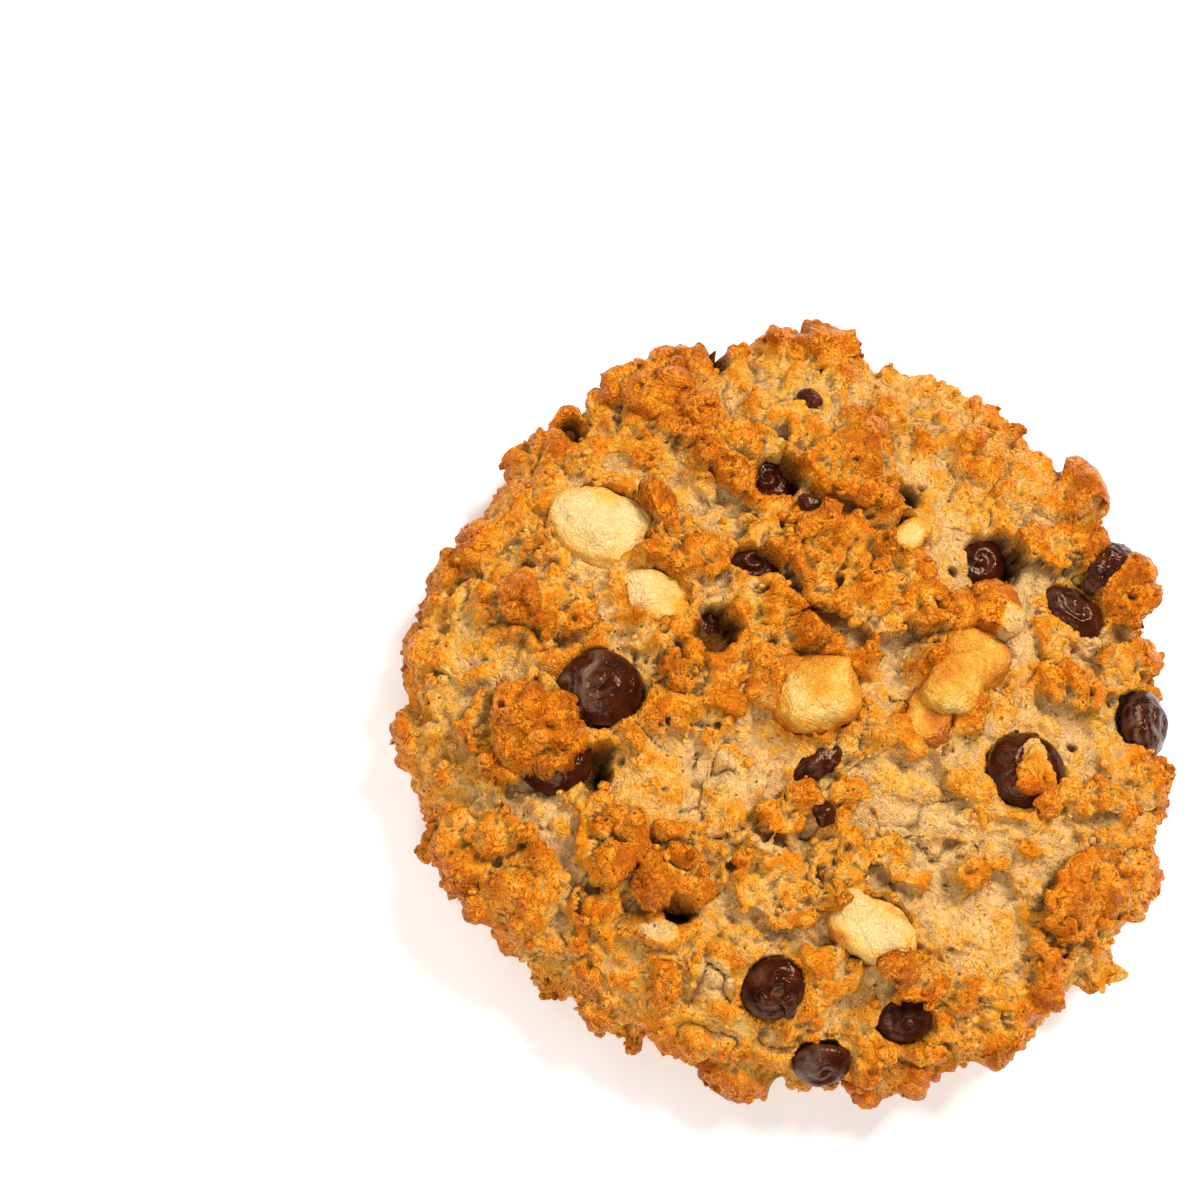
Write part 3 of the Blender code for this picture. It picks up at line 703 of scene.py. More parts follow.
for node, (middle, axes, radii) in toppings.items():
    if node in DEEP_CHIPS:
        continue
    local = (dough - middle) @ axes
    shift = POCKET_SHIFTS.get(node, (0, 0))
    aside = (local[:, :2] - np.array((*shift, 0)) @ axes[:, :2]) / radii[:2]
    reach = np.hypot(*aside.T)
    lap, raggedness = (CHIP_LAP, CHIP_RAGGEDNESS) if node in CHIPS else (CHUNK_LAP, CHUNK_RAGGEDNESS)
    outline = lap + raggedness * edge_noise
    near = (np.abs(local[:, 2]) < POCKET_REACH) & (reach < 1.5)
    under = np.clip(1 - (local[:, :2] ** 2 / radii[:2] ** 2).sum(axis=1) / 1.3, 0, 1)
    floor = -(radii[2] + POCKET_GAP) * np.sqrt(under)
    share = near * ease_step((outline - reach) / POCKET_EDGE + 0.5) * (1 - covered)
    drop = np.minimum(floor - local[:, 2], 0) * share
    dough += drop[:, None] * axes[:, 2]
    # Painted shade inside the pocket.
    pocket_shade = np.maximum(pocket_shade, share * (CHIP_SHADE if node in CHIPS else CHUNK_SHADE))
dough[:, 2] = np.maximum(dough[:, 2] - hole_depth, np.minimum(dough[:, 2], HOLE_BOTTOM))
print("pressed in:", int((pocket_shade > 0.1).sum() + (hole_depth > 1).sum()), "points")

# %% [markdown]
# ## Fine crust
# The last layers are what a fingertip feels: crumbs of a millimetre or two, wrinkles below that, a few round
# pits where bubbles burst, and oat flakes pressed into the skin. They are pushed out along the newly worked
# out directions, so they also stand on cliffs and on the flank. What would stick out of the box of the
# solids is eased back into it. Two marks kept for the material say how far each point is browned and how
# much painted shade it gets where it lies in a hollow.

# %% Fine layers
CRUMB_LAYERS = ((1.6, 0.12), (0.8, 0.03))
MEAN_LUMP = 0.42  # of the cell noise
WRINKLE_SIZE = 1.0
WRINKLE_HEIGHT = 0.10
PIT_SIZE = 4.4
PIT_DEPTH = 1.0
PIT_LEVEL = 0.84  # of the cell noise, above which a pit starts
PIT_EDGE = 0.10
BOX_KNEE = 0.12  # how softly the points bend away from the box

box_low, box_high = (np.array(end) / MM for end in cad_box)


def inside_box(points):
    """The points, eased back where they would stick out of the solids' box, and kept off the ground."""
    held = box_high - BOX_KNEE * np.logaddexp(0, (box_high - points) / BOX_KNEE)
    held[:, :2] = box_low[:2] + BOX_KNEE * np.logaddexp(0, (held[:, :2] - box_low[:2]) / BOX_KNEE)
    held[:, 2] = np.maximum(held[:, 2], 0)
    return held


FLAKES = {  # pale oat flakes pressed into the dough: x, y, half length, half width, turn
    "below the middle": (-1.6, -12.4, 2.6, 1.9, 60),
    "beside it": (-5.0, -13.6, 2.4, 1.5, -25),
    "by the brown lobe": (-4.2, -33.2, 2.1, 1.3, 30),
    "by the streak": (27.0, 20.6, 2.4, 1.6, 35),
    "clear one": (18.6, 14.8, 3.4, 2.8, -40),
    "near patch": (2.5, -20.0, 2.2, 1.4, 15),
    "near rim": (3.5, -35.0, 2.4, 1.6, -30),
}
FLAKE_HEIGHT = 0.20
FLAKE_EDGE = 0.25
FLANK_GAIN = 0.3  # how much stronger the relief is on the flank
LOW_LOSS = 0.3  # and how much weaker in low places
STRETCH_LOSS = 0.4  # and on stretched skin

normals = surface_normals(dough, net_faces)
torn = swirled(dough, 3.0, 0.6, SEED)
flake_share = np.zeros(len(dough))
for flake in FLAKES.values():
    reach = oval_reach(dough, *flake) + 0.35 * edge_noise
    flake_share = np.maximum(flake_share, ease_step((1 - reach) / FLAKE_EDGE) * on_top)
fine = sum(2 * height * (lump_noise(torn, size, SEED + 5) - MEAN_LUMP) for size, height in CRUMB_LAYERS)
creased = rough_noise(swirled(dough, 4.0, 1.2, SEED + 2), WRINKLE_SIZE, SEED + 8, 2)
fine += WRINKLE_HEIGHT * (1 - 3 * np.abs(creased))
gain = (1 + FLANK_GAIN * (1 - on_top)) * (1 - LOW_LOSS * np.clip(sunk, 0, 1))
fine *= gain * (1 - STRETCH_LOSS * stretched) * standing
fine = fine * (1 - 0.5 * flake_share) + FLAKE_HEIGHT * flake_share
pits = ease_step((lump_noise(torn, PIT_SIZE, SEED + 77) - PIT_LEVEL) / PIT_EDGE)
dough += softened(normals, net_faces, 1) * (fine - PIT_DEPTH * pits * standing)[:, None]
elevation += fine
dough = inside_box(dough)
print("fine relief:", round(float(fine.min()), 2), "to", round(float(fine.max()), 2), "mm")

# %% [markdown]
# ## Where the dough is brown
# An oven browns what stands high and sticks out, and leaves what is low or sheltered pale. So the browning
# mark grows with the height above the smooth form, with how far a place bulges out of its surroundings, at
# two scales, and towards the rim. Slow noise makes it patchy. The brightness of a real crust levels off
# before it burns, and so does the mark. The other mark is painted shade: it darkens pockets, holes, pits,
# cracks and creases, where shade falls.

# %% Marks for the dough's colour
normals = surface_normals(dough, net_faces)


def bulge(rounds):
    """How far a point stands above the surface with everything smaller than this smoothing taken out."""
    return ((dough - softened(dough, net_faces, rounds)) * normals).sum(axis=1)


SMALL_ROUNDS = 4  # of smoothing, for creases and crumbs
SMALL_BULGE = 0.12  # the bulge that counts in full
MIDDLE_ROUNDS = 30  # for scraps and lobes
MIDDLE_BULGE = 0.45
RIM_START = 30.0
RIM_WIDTH = 11.0
OUTER_START = 37.0
OUTER_WIDTH = 5.0
MEAN_BAKE = 0.38  # on the smooth form
HEIGHT_BAKE = 0.11  # more for each millimetre of height
SMALL_BAKE = 0.08  # more on a small bulge
MIDDLE_BAKE = 0.15  # more on a broad bulge
RIM_BAKE = 0.14
LIFT_BAKE = 0.08
PATCH_BAKE = 0.15  # more or less by slow noise
FLANK_BAKE = 0.46  # the least browning there
LUMP_BAKE = 0.54  # and on knobs
DARK_KNEE = 0.60  # above this, the browning levels off
DARK_ROOM = 0.32
PALE_FLAKE = 0.12
# The next four set painted shade, a darkening where shade falls in low places, pits, cracks and crevices.
LOWEST_SHADE = 0.25  # share of the creases' shade that low places get
PIT_SHADE = 0.6
CRACK_SHADE = 0.5
CREVICE_SHADE = 0.85
small_bulge = np.clip(bulge(SMALL_ROUNDS) / SMALL_BULGE, -1, 1)
middle_bulge = np.clip(bulge(MIDDLE_ROUNDS) / MIDDLE_BULGE, -1, 1)
from_middle = np.hypot(dough[:, 0], dough[:, 1])
on_rim = ease_step((from_middle - RIM_START) / RIM_WIDTH)
soft_elevation = softened(elevation, net_faces, 14)
bake = MEAN_BAKE + HEIGHT_BAKE * soft_elevation + SMALL_BAKE * small_bulge
bake = bake + MIDDLE_BAKE * middle_bulge + RIM_BAKE * on_rim
bake += LIFT_BAKE * np.clip(lift, 0, 2) + PATCH_BAKE * rough_noise(dough, 8.0, SEED + 60, 3)
outer = np.maximum(1 - on_top, ease_step((from_middle - OUTER_START) / OUTER_WIDTH))
bake = np.maximum(bake, (FLANK_BAKE + 0.12 * rough_noise(dough, 5.0, SEED + 63, 2)) * outer)
on_knob = np.clip(softened(lift, net_faces, 8) / 0.6, 0, 1)
bake = np.maximum(bake, LUMP_BAKE * on_knob + 0.10 * middle_bulge)
levelled = DARK_KNEE + DARK_ROOM * np.tanh((bake - DARK_KNEE) / DARK_ROOM)
bake = np.where(bake > DARK_KNEE, levelled, bake)
bake += (PALE_FLAKE - bake) * flake_share
# Painted shade: crevices, pockets, holes, pits and cracks are darkened by the shade mark.
painted_crevice_shade = np.clip(-small_bulge - 0.1, 0, 1) * np.clip(0.1 - middle_bulge, 0, 1)
painted_crevice_shade *= 1 - np.clip(lift, 0, 1)
painted_crevice_shade *= LOWEST_SHADE + (1 - LOWEST_SHADE) * ease_step((soft_elevation + 0.5) / 0.9)
hollow_shade = np.clip(hole_depth / 3, 0, 1) + pocket_shade + PIT_SHADE * pits
hollow_shade = hollow_shade + CRACK_SHADE * cracks + CREVICE_SHADE * painted_crevice_shade
bake = np.clip(bake, 0, 1)
print("browning at 5, 50 and 95 %:", np.percentile(bake, [5, 50, 95]).round(2))

# %% [markdown]
# ## Materials
# All looks are built from nodes, and read either the marks stored on the points or the object's own
# coordinates. The dough's colour is a ramp from pale crumb over gold to orange-brown, driven by the browning
# mark and two noises, because real crust is never one tone. The crests of its finest creases get painted
# highlights, read paler on the same ramp, and the creases get painted shade, as do its pores and, by the
# shade mark, its hollows. A little light passes into baked dough, so it has some subsurface scattering, and
# butter gives it a soft gloss.

# %% Node helpers


def new_material(name):
    """An empty material with its Principled shader, and a short function that adds a node to it."""
    made = bpy.data.materials.new(name)
    made.use_nodes = True
    tree = made.node_tree
    shader = tree.nodes["Principled BSDF"]

    def add(kind, inputs=None, **settings):
        node = tree.nodes.new(kind)
        for key, value in settings.items():
            setattr(node, key, value)
        for key, value in (inputs or {}).items():
            if isinstance(value, bpy.types.NodeSocket):
                tree.links.new(value, node.inputs[key])
            else:
                node.inputs[key].default_value = value
        return node

    def link(source, target):
        tree.links.new(source, target)

    return made, shader, add, link


def noise(add, per_metre, detail=3.0, distortion=0.0, roughness=0.55):
    """Noise on the object's own coordinates, with this many features to the metre."""
    place = add("ShaderNodeTexCoord").outputs["Object"]
    values = {"Vector": place, "Scale": per_metre, "Detail": detail}
    values.update({"Roughness": roughness, "Distortion": distortion})
    return add("ShaderNodeTexNoise", values).outputs["Fac"]


def mark(add, name):
    """A mark stored on the mesh's points."""
    return add("ShaderNodeAttribute", attribute_name=name).outputs["Fac"]


def maths(add, operation, first, second=0.0, third=0.0):
    """One step of arithmetic."""
    node = add("ShaderNodeMath", {0: first, 1: second, 2: third}, operation=operation)
    return node.outputs[0]


def ramp(add, value, stops):
    """A colour ramp with these places and linear colours."""
    node = add("ShaderNodeValToRGB", {"Fac": value})
    elements = node.color_ramp.elements
    while len(elements) < len(stops):
        elements.new(0.5)
    for element, (place, colour) in zip(elements, stops):
        element.position = place
        element.color = (*colour, 1)
    return node.outputs["Color"]


def mixed(add, share, first, second, blend="MIX"):
    """Two colours mixed by a share."""
    return add(
        "ShaderNodeMix", {0: share, 6: first, 7: second}, data_type="RGBA", blend_type=blend
    ).outputs[2]


print("node helpers ready")

# %% Baked dough
CRUST_STOPS = (
    (0.00, (0.84, 0.53, 0.215)),
    (0.18, (0.86, 0.490, 0.150)),
    (0.34, (0.88, 0.44, 0.070)),
    (0.50, (0.88, 0.350, 0.023)),
    (0.64, (0.84, 0.265, 0.008)),
    (0.80, (0.66, 0.160, 0.003)),
    (1.00, (0.36, 0.070, 0.001)),
)
# Painted highlight on the crests of the finest creases:
CREST_PAINTED_HIGHLIGHT = 0.32
# Painted shade in the creases:
CREASE_SHADE = ((0.38, (0.46, 0.27, 0.12)), (0.70, (1, 1, 1)))
CREASES_PER_METRE = 950
# Painted shade colour for hollows:
HOLLOW_SHADE_COLOUR = (0.075, 0.018, 0.004, 1)
# Painted shade colour for pores:
PORE_SHADE_COLOUR = (0.12, 0.03, 0.006, 1)
PORES_PER_METRE = 620
PORE_SIZE = 0.13


def dough_material(name="baked dough"):
    """Pale crumb to brown crust, painted shade in hollows, creases, pores, painted crest glints, gloss,
    wrinkles.
    """
    made, shader, add, link = new_material(name)
    patchy = maths(add, "MULTIPLY_ADD", noise(add, 260, 4, 0.6), 0.30, -0.15)
    speckled = maths(add, "MULTIPLY_ADD", noise(add, 1300, 3, 1.2), 0.22, -0.11)
    browned = maths(add, "ADD", mark(add, "bake"), maths(add, "ADD", patchy, speckled))
    # Painted highlights: pale strokes along the crests of the finest creases stand in for glints.
    crease_noise = noise(add, CREASES_PER_METRE, 2, 1.8)
    crease = maths(add, "ABSOLUTE", maths(add, "MULTIPLY_ADD", crease_noise, 2.0, -1.0))
    glint_crests = ramp(add, crease, ((0.04, (1, 1, 1)), (0.17, (0, 0, 0))))
    broken = ramp(add, noise(add, 420, 2), ((0.40, (0, 0, 0)), (0.54, (1, 1, 1))))
    painted_glint_strokes = maths(add, "MULTIPLY", glint_crests, broken)
    browned = maths(add, "MULTIPLY_ADD", painted_glint_strokes, -CREST_PAINTED_HIGHLIGHT, browned)
    colour = ramp(add, browned, CRUST_STOPS)
    # Painted shade: the creases of the same wrinkles are darkened by a ramp on their height.
    finer = maths(add, "ABSOLUTE", maths(add, "MULTIPLY_ADD", noise(add, 2800, 1, 1.2), 2.0, -1.0))
    height = maths(add, "SUBTRACT", 1.0, maths(add, "MULTIPLY_ADD", finer, 0.4, crease))
    shade = ramp(add, height, CREASE_SHADE)
    colour = mixed(add, 1.0, colour, shade, "MULTIPLY")
    # Painted shade in tiny pores: dark dots where the pores' insides would be in shade.
    place = add("ShaderNodeTexCoord").outputs["Object"]
    cells = add("ShaderNodeTexVoronoi", {"Vector": place, "Scale": PORES_PER_METRE, "Randomness": 1.0})
    dots = maths(add, "LESS_THAN", cells.outputs["Distance"], PORE_SIZE)
    pore_shade = maths(add, "MULTIPLY", dots, maths(add, "GREATER_THAN", noise(add, 210), 0.54))
    colour = mixed(add, maths(add, "MULTIPLY", pore_shade, 0.8), colour, PORE_SHADE_COLOUR)
    # Painted shade in hollows, pockets, holes, pits, cracks and crevices, by the shade mark.
    colour = mixed(add, mark(add, "hollow_shade"), colour, HOLLOW_SHADE_COLOUR)
    link(colour, shader.inputs["Base Color"])
    rough = maths(add, "MULTIPLY_ADD", noise(add, 900, 2), -0.26, 0.37)
    link(rough, shader.inputs["Roughness"])
    bump = add("ShaderNodeBump", {"Height": height, "Strength": 1.0, "Distance": 0.0005})
    link(bump.outputs["Normal"], shader.inputs["Normal"])
    shader.inputs["Subsurface Weight"].default_value = 0.12
    shader.inputs["Subsurface Radius"].default_value = (1.0, 0.45, 0.15)
    shader.inputs["Subsurface Scale"].default_value = 0.0008
    shader.inputs["Specular IOR Level"].default_value = 0.42
    shader.inputs["Specular Tint"].default_value = (1.0, 0.76, 0.36, 1)
    return made


crust = dough_material()
print("made", crust.name)

# %% [markdown]
# ## Putting arrays into meshes
# A mesh can be built face by face, which is slow for half a million faces. Here it is filled in one go from
# arrays: the points, the corners of all faces, and one value a point for each mark. The same helper ties a
# piece to the body it rides on, and hides the solid it stands for.

# %% Mesh helper


def make_piece(name, points, face_groups, finish, nodes=(), marks=None, directions=None):
    """A smooth-shaded object at the origin from points in millimetres and arrays of faces."""
    points = inside_box(points)
    sizes = np.concatenate([np.full(len(group), group.shape[1]) for group in face_groups])
    corners = np.concatenate([group.ravel() for group in face_groups])
    mesh = bpy.data.meshes.new(name)
    mesh.vertices.add(len(points))
    mesh.vertices.foreach_set("co", np.ravel(points * MM).astype(np.float32))
    mesh.loops.add(len(corners))
    mesh.loops.foreach_set("vertex_index", corners.astype(np.int32))
    mesh.polygons.add(len(sizes))
    mesh.polygons.foreach_set("loop_start", (np.cumsum(sizes) - sizes).astype(np.int32))
    mesh.update(calc_edges=True)
    mesh.shade_smooth()
    for key, values in (marks or {}).items():
        attribute = mesh.attributes.new(key, "FLOAT", "POINT")
        attribute.data.foreach_set("value", np.broadcast_to(values, len(points)).astype(np.float32))
    if directions is not None:
        mesh.normals_split_custom_set_from_vertices(directions.astype(np.float32))
    mesh.materials.append(finish)
    made = bpy.data.objects.new(name, mesh)
    bpy.context.scene.collection.objects.link(made)
    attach(made, "root")
    if nodes:
        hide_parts(*nodes)
    print(name, "has", int((sizes - 2).sum()), "triangles")
    return made


# The painted shade of hollows goes no darker than this share.
DARKEST_HOLLOW_SHADE = 0.9


def cut_piece(name, face_groups):
    """One piece of the dough's net: its faces, renumbered, shaded with the whole net's directions."""
    used = np.unique(np.concatenate([group.ravel() for group in face_groups]))
    renumbered = np.full(len(dough), -1)
    renumbered[used] = np.arange(len(used))
    groups = [renumbered[group] for group in face_groups]
    marks = {"bake": bake[used], "hollow_shade": np.clip(hollow_shade[used], 0, DARKEST_HOLLOW_SHADE)}
    return make_piece(name, dough[used], groups, crust, ["dough"], marks, normals[used])


# %% Dough pieces
cut_piece("dough_top", [top_faces])
cut_piece("dough_flank", [band_faces])
cut_piece("dough_base", [base_faces, last_ring[None, ::-1]])

# %% [markdown]
# ## Chips
# A baking chip melts into a low round disc and keeps a soft swirl of its tip. Each is a closed ball of six
# square patches, which has no poles, stretched to the solid's radii, with gentle dents. A grey bloom, fat
# that came to the surface, lies on some of them, and many small dents break the light into glints.

# %% A ball of six patches


def ball(count):
    """Points and faces of a unit ball: six square grids pushed out to length one and merged."""
    side = np.tan(np.linspace(-1, 1, count + 1) * np.pi / 4)
    a, b = np.meshgrid(side, side, indexing="ij")
    one = np.ones_like(a)
    patches = ((one, a, b), (-one, b, a), (b, one, a), (a, -one, b), (a, b, one), (b, a, -one))
    points = np.concatenate([np.stack(patch, axis=-1).reshape(-1, 3) for patch in patches])
    points /= np.linalg.norm(points, axis=1, keepdims=True)
    faces = np.concatenate([square_faces(count) + number * (count + 1) ** 2 for number in range(6)])
    _, first, merged = np.unique(points.round(6), axis=0, return_index=True, return_inverse=True)
    return points[first], merged.reshape(-1)[faces]


print("a ball of 12 cells a side has", len(ball(12)[1]), "faces")

# %% Chocolate
CHOCOLATE_STOPS = ((0.3, (0.016, 0.0026, 0.0008)), (0.75, (0.062, 0.0105, 0.0020)))
BLOOM_COLOUR = (0.15, 0.085, 0.055, 1)


def chocolate_material():
    """Dark and glossy, with a grey-brown bloom in patches and fine dents that break up the reflections."""
    made, shader, add, link = new_material("dark chocolate")
    bloom = ramp(add, noise(add, 330, 4, 1.5), ((0.46, (0, 0, 0)), (0.66, (1, 1, 1))))
    bloom = maths(add, "MULTIPLY", bloom, mark(add, "bloom"))
    colour = ramp(add, noise(add, 500, 2), CHOCOLATE_STOPS)
    colour = mixed(add, bloom, colour, BLOOM_COLOUR)
    link(colour, shader.inputs["Base Color"])
    link(maths(add, "MULTIPLY_ADD", bloom, 0.30, 0.10), shader.inputs["Roughness"])
    dents = maths(add, "MULTIPLY_ADD", noise(add, 2600, 2), 0.4, noise(add, 900, 3, 0.8))
    bump = add("ShaderNodeBump", {"Height": dents, "Strength": 0.5, "Distance": 0.00035})
    link(bump.outputs["Normal"], shader.inputs["Normal"])
    shader.inputs["Specular IOR Level"].default_value = 0.26
    shader.inputs["Specular Tint"].default_value = (1.0, 0.62, 0.40, 1)
    return made


chocolate = chocolate_material()
CHIP_BLOOM = {
    "chip_01": 0.8,
    "chip_08": 0.2,
    "chip_07": 0.7,
    "chip_11": 0.6,
    "chip_06": 0.3,
    "chip_09": 0.3,
}
DEFAULT_BLOOM = 0.1
CHIP_CELLS = 28
CHIP_SLUMP = 0.92  # share of its height that a melted chip keeps
SWIRL_HEIGHT = 0.24
SWIRL_TIGHTNESS = 9
SWIRL_RING = 0.35  # how far from the middle the swirl is highest, as a share of the radius
SWIRL_WIDTH = 0.25
CHIP_INSET = 0.16  # keeps the dents and the swirl inside the solid


def chip_points(unit, radii, seed):
    """The ball stretched to the chip's radii and slumped, with slow dents and a low swirl on top."""
    shape = unit * radii
    shape[:, 2] *= CHIP_SLUMP
    spread = np.hypot(unit[:, 0], unit[:, 1])
    spin = np.arctan2(unit[:, 1], unit[:, 0])
    swirl = SWIRL_HEIGHT * np.sin(spin + SWIRL_TIGHTNESS * spread + seed)
    swirl = swirl * np.exp(-((spread - SWIRL_RING) / SWIRL_WIDTH) ** 2) * (unit[:, 2] > 0)
    dents = 0.16 * smooth_noise(shape, 2.4, seed) + 0.07 * smooth_noise(shape, 1.1, seed + 3)
    return shape + unit * (dents - CHIP_INSET + swirl)[:, None]


topping_points = []
chip_unit, chip_faces = ball(CHIP_CELLS)
for number, node in enumerate(CHIPS):
    middle, axes, radii = toppings[node]
    points = chip_points(chip_unit, radii, SEED + number) @ axes.T + middle
    topping_points.append(points)
    marks = {"bloom": CHIP_BLOOM.get(node, DEFAULT_BLOOM) * ease_step(0.5 - 0.8 * chip_unit[:, 0])}
    make_piece(node + "_melted", points, [chip_faces], chocolate, [node], marks)

# %% [markdown]
# ## Pale chunks
# The pale chunks are smooth and waxy, cream where they are sheltered and gold where the oven reached them.
# They are less round than chips: broad flats meet in soft edges. Cell noise of about the chunk's size, added
# to a ball made squarer and stretched, gives those flats.

# %% Chunks
CHUNK_STOPS = (
    (0.05, (0.80, 0.560, 0.225)),
    (0.30, (0.82, 0.490, 0.115)),
    (0.52, (0.77, 0.350, 0.022)),
    (0.78, (0.68, 0.225, 0.006)),
    (1.00, (0.46, 0.11, 0.003)),
)


def chunk_material():
    """Cream to gold by the browning mark and soft noise, satin, with more light inside than dough."""
    made, shader, add, link = new_material("pale chunk")
    browned = maths(add, "MULTIPLY_ADD", noise(add, 300, 4, 1.0), 1.20, -0.62)
    browned = maths(add, "ADD", browned, mark(add, "bake"))
    link(ramp(add, browned, CHUNK_STOPS), shader.inputs["Base Color"])
    link(maths(add, "MULTIPLY_ADD", noise(add, 800, 2), -0.35, 0.44), shader.inputs["Roughness"])
    ripples = maths(add, "MULTIPLY_ADD", noise(add, 2600, 2, 1.0), 0.6, noise(add, 900, 3, 1.5))
    bump = add("ShaderNodeBump", {"Height": ripples, "Strength": 0.9, "Distance": 0.0007})
    link(bump.outputs["Normal"], shader.inputs["Normal"])
    shader.inputs["Subsurface Weight"].default_value = 0.2
    shader.inputs["Subsurface Radius"].default_value = (1.0, 0.6, 0.3)
    shader.inputs["Subsurface Scale"].default_value = 0.0014
    return made


waxy = chunk_material()
CHUNK_BAKE = {
    "chunk_1": 0.12,
    "chunk_2": 0.42,
    "chunk_3": 0.52,
    "chunk_4": 0.60,
    "chunk_5": 0.05,
    "chunk_6": 0.46,
}
DEFAULT_CHUNK_BAKE = 0.30
CHUNK_SQUARENESS = (0.8, 0.8, 0.6)  # 1 is round, towards 0 is a box
CHUNK_RIM_BAKE = 0.44
CHUNK_PATCHES = 0.34
CHUNK_CELLS = 36


def chunk_points(unit, radii, seed):
    """The ball made squarer, stretched to the chunk's radii and pressed in by broad and slow noise."""
    shape = np.sign(unit) * np.abs(unit) ** CHUNK_SQUARENESS * radii
    flats = 1.7 * lump_noise(swirled(shape, 4.0, 0.8, seed), 5.5, seed) - 1.0
    ripples = 0.45 * smooth_noise(shape, 3.0, seed + 1) + 0.30 * (lobes(shape, 3.0, seed + 2) - MEAN_LOBE)
    return shape + unit * (flats + ripples)[:, None]


chunk_unit, chunk_faces = ball(CHUNK_CELLS)
for number, node in enumerate(CHUNKS):
    middle, axes, radii = toppings[node]
    points = chunk_points(chunk_unit, radii, SEED + 40 + number) @ axes.T + middle
    topping_points.append(points)
    edge = np.hypot(chunk_unit[:, 0], chunk_unit[:, 1]) ** 3
    patches = CHUNK_PATCHES * smooth_noise(chunk_unit * radii, 3.0, SEED + 70 + number)
    marks = {"bake": CHUNK_BAKE.get(node, DEFAULT_CHUNK_BAKE) + CHUNK_RIM_BAKE * edge + patches}
    make_piece(node + "_waxy", points, [chunk_faces], waxy, [node], marks)

# %% [markdown]
# ## Strands, drips and bits
# Some crust ran over a chip before it set, and some chocolate ran out of a chip. A strand is an oval section
# carried along a path that lies on whatever is highest there. Its ends are rounded, and the same noise as
# the dough's roughens it. Broken bits of chocolate, too small for a pocket, and a pale bit that joins two
# chunks are balls with coarse dents, sunk into the dough.

# %% Strands
STRANDS = {  # path of (x, y, height above what lies there), half widths, half thickness, finish, marks
    "dab": (
        ((24.2, 4.8, -0.3), (25.3, 2.2, 0.1), (25.8, -1.6, 0.2)),
        (1.3, 1.0, 1.8),
        0.9,
        "crust",
        (0.02, 0.68, 0.92),
    ),
    "dab_foot": (
        ((25.8, 2.6, 0.1), (28.0, 0.2, 0.1), (29.6, -2.4, 0.1)),
        (1.0, 1.1, 1.7),
        0.9,
        "crust",
        (0.60, 0.80, 0.92),
    ),
    "dab_arm": (
        ((29.4, -0.6, -0.1), (30.4, 1.6, 0.2), (30.6, 3.6, -0.2)),
        (0.9, 1.2, 0.9),
        0.8,
        "crust",
        (0.68, 0.66, 0.60),
    ),
    "streak": (
        ((23.8, 24.4, 0.2), (24.2, 27.6, 0.4), (25.8, 31.6, 0.4), (27.2, 34.4, 0.1)),
        (1.2, 1.1, 1.3, 1.9),
        0.7,
        "chocolate",
        (0.2, 0.1),
    ),
    "drip": (((10.8, -33.6, 0.0), (12.3, -35.4, 0.0)), (0.8, 0.6), 0.5, "chocolate", (0.2, 0.2)),
}
STRAND_SECTIONS = 72
STRAND_SIDES = 40
PATH_ROUNDS = 60  # of smoothing the path's corners
END_POWER = 6  # how blunt the ends are

cloud = np.concatenate([dough[dough[:, 2] > WIDEST_HEIGHT], *topping_points])


def top_height(x, y, within=0.7):
    """Height of the highest point of the dough or the toppings near a place."""
    near = cloud[np.hypot(cloud[:, 0] - x, cloud[:, 1] - y) < within]
    return float(near[:, 2].max()) if len(near) else WIDEST_HEIGHT


def strand_points(path, half_widths, half_thickness, seed):
    """Ovals along a smooth path, shrunk to points at both ends, with noise added outwards."""
    spots = np.array([(x, y, top_height(x, y) + above) for x, y, above in path])
    knots = np.linspace(0, 1, len(spots))
    along = np.linspace(0, 1, STRAND_SECTIONS)
    centre = np.stack([np.interp(along, knots, column) for column in spots.T], axis=1)
    for _ in range(PATH_ROUNDS):
        centre[1:-1] = (centre[:-2] + centre[1:-1] + centre[2:]) / 3
    width = np.interp(along, knots, half_widths)
    tangent = np.gradient(centre, axis=0)
    tangent /= np.linalg.norm(tangent, axis=1, keepdims=True)
    side = np.cross((0, 0, 1), tangent)
    side /= np.linalg.norm(side, axis=1, keepdims=True)
    upward = np.cross(tangent, side)
    rounding = np.sqrt(np.clip(1 - np.abs(2 * along - 1) ** END_POWER, 1e-4, 1))
    turn = np.linspace(0, 2 * np.pi, STRAND_SIDES, endpoint=False)
    aside = np.cos(turn)[None, :, None] * side[:, None] * (width * rounding)[:, None, None]
    height = (half_thickness * rounding)[:, None, None]
    outward = aside + np.sin(turn)[None, :, None] * upward[:, None] * height
    points = (centre[:, None] + outward).reshape(-1, 3)
    away = outward.reshape(-1, 3)
    rough = 0.45 * rough_noise(points, 1.8, seed, 3) + 0.7 * (lump_noise(points, 1.4, seed) - 0.4)
    return points + away * rough[:, None]


def strand_faces():
    """Quads between neighbouring sections, and a many-sided cap at each end."""
    numbers = np.arange(STRAND_SECTIONS * STRAND_SIDES).reshape(STRAND_SECTIONS, STRAND_SIDES)
    turned = np.roll(numbers, -1, axis=1)
    quads = np.stack([numbers[:-1], turned[:-1], turned[1:], numbers[1:]], axis=2).reshape(-1, 4)
    return [quads, numbers[0][None, ::-1], numbers[-1][None, :]]


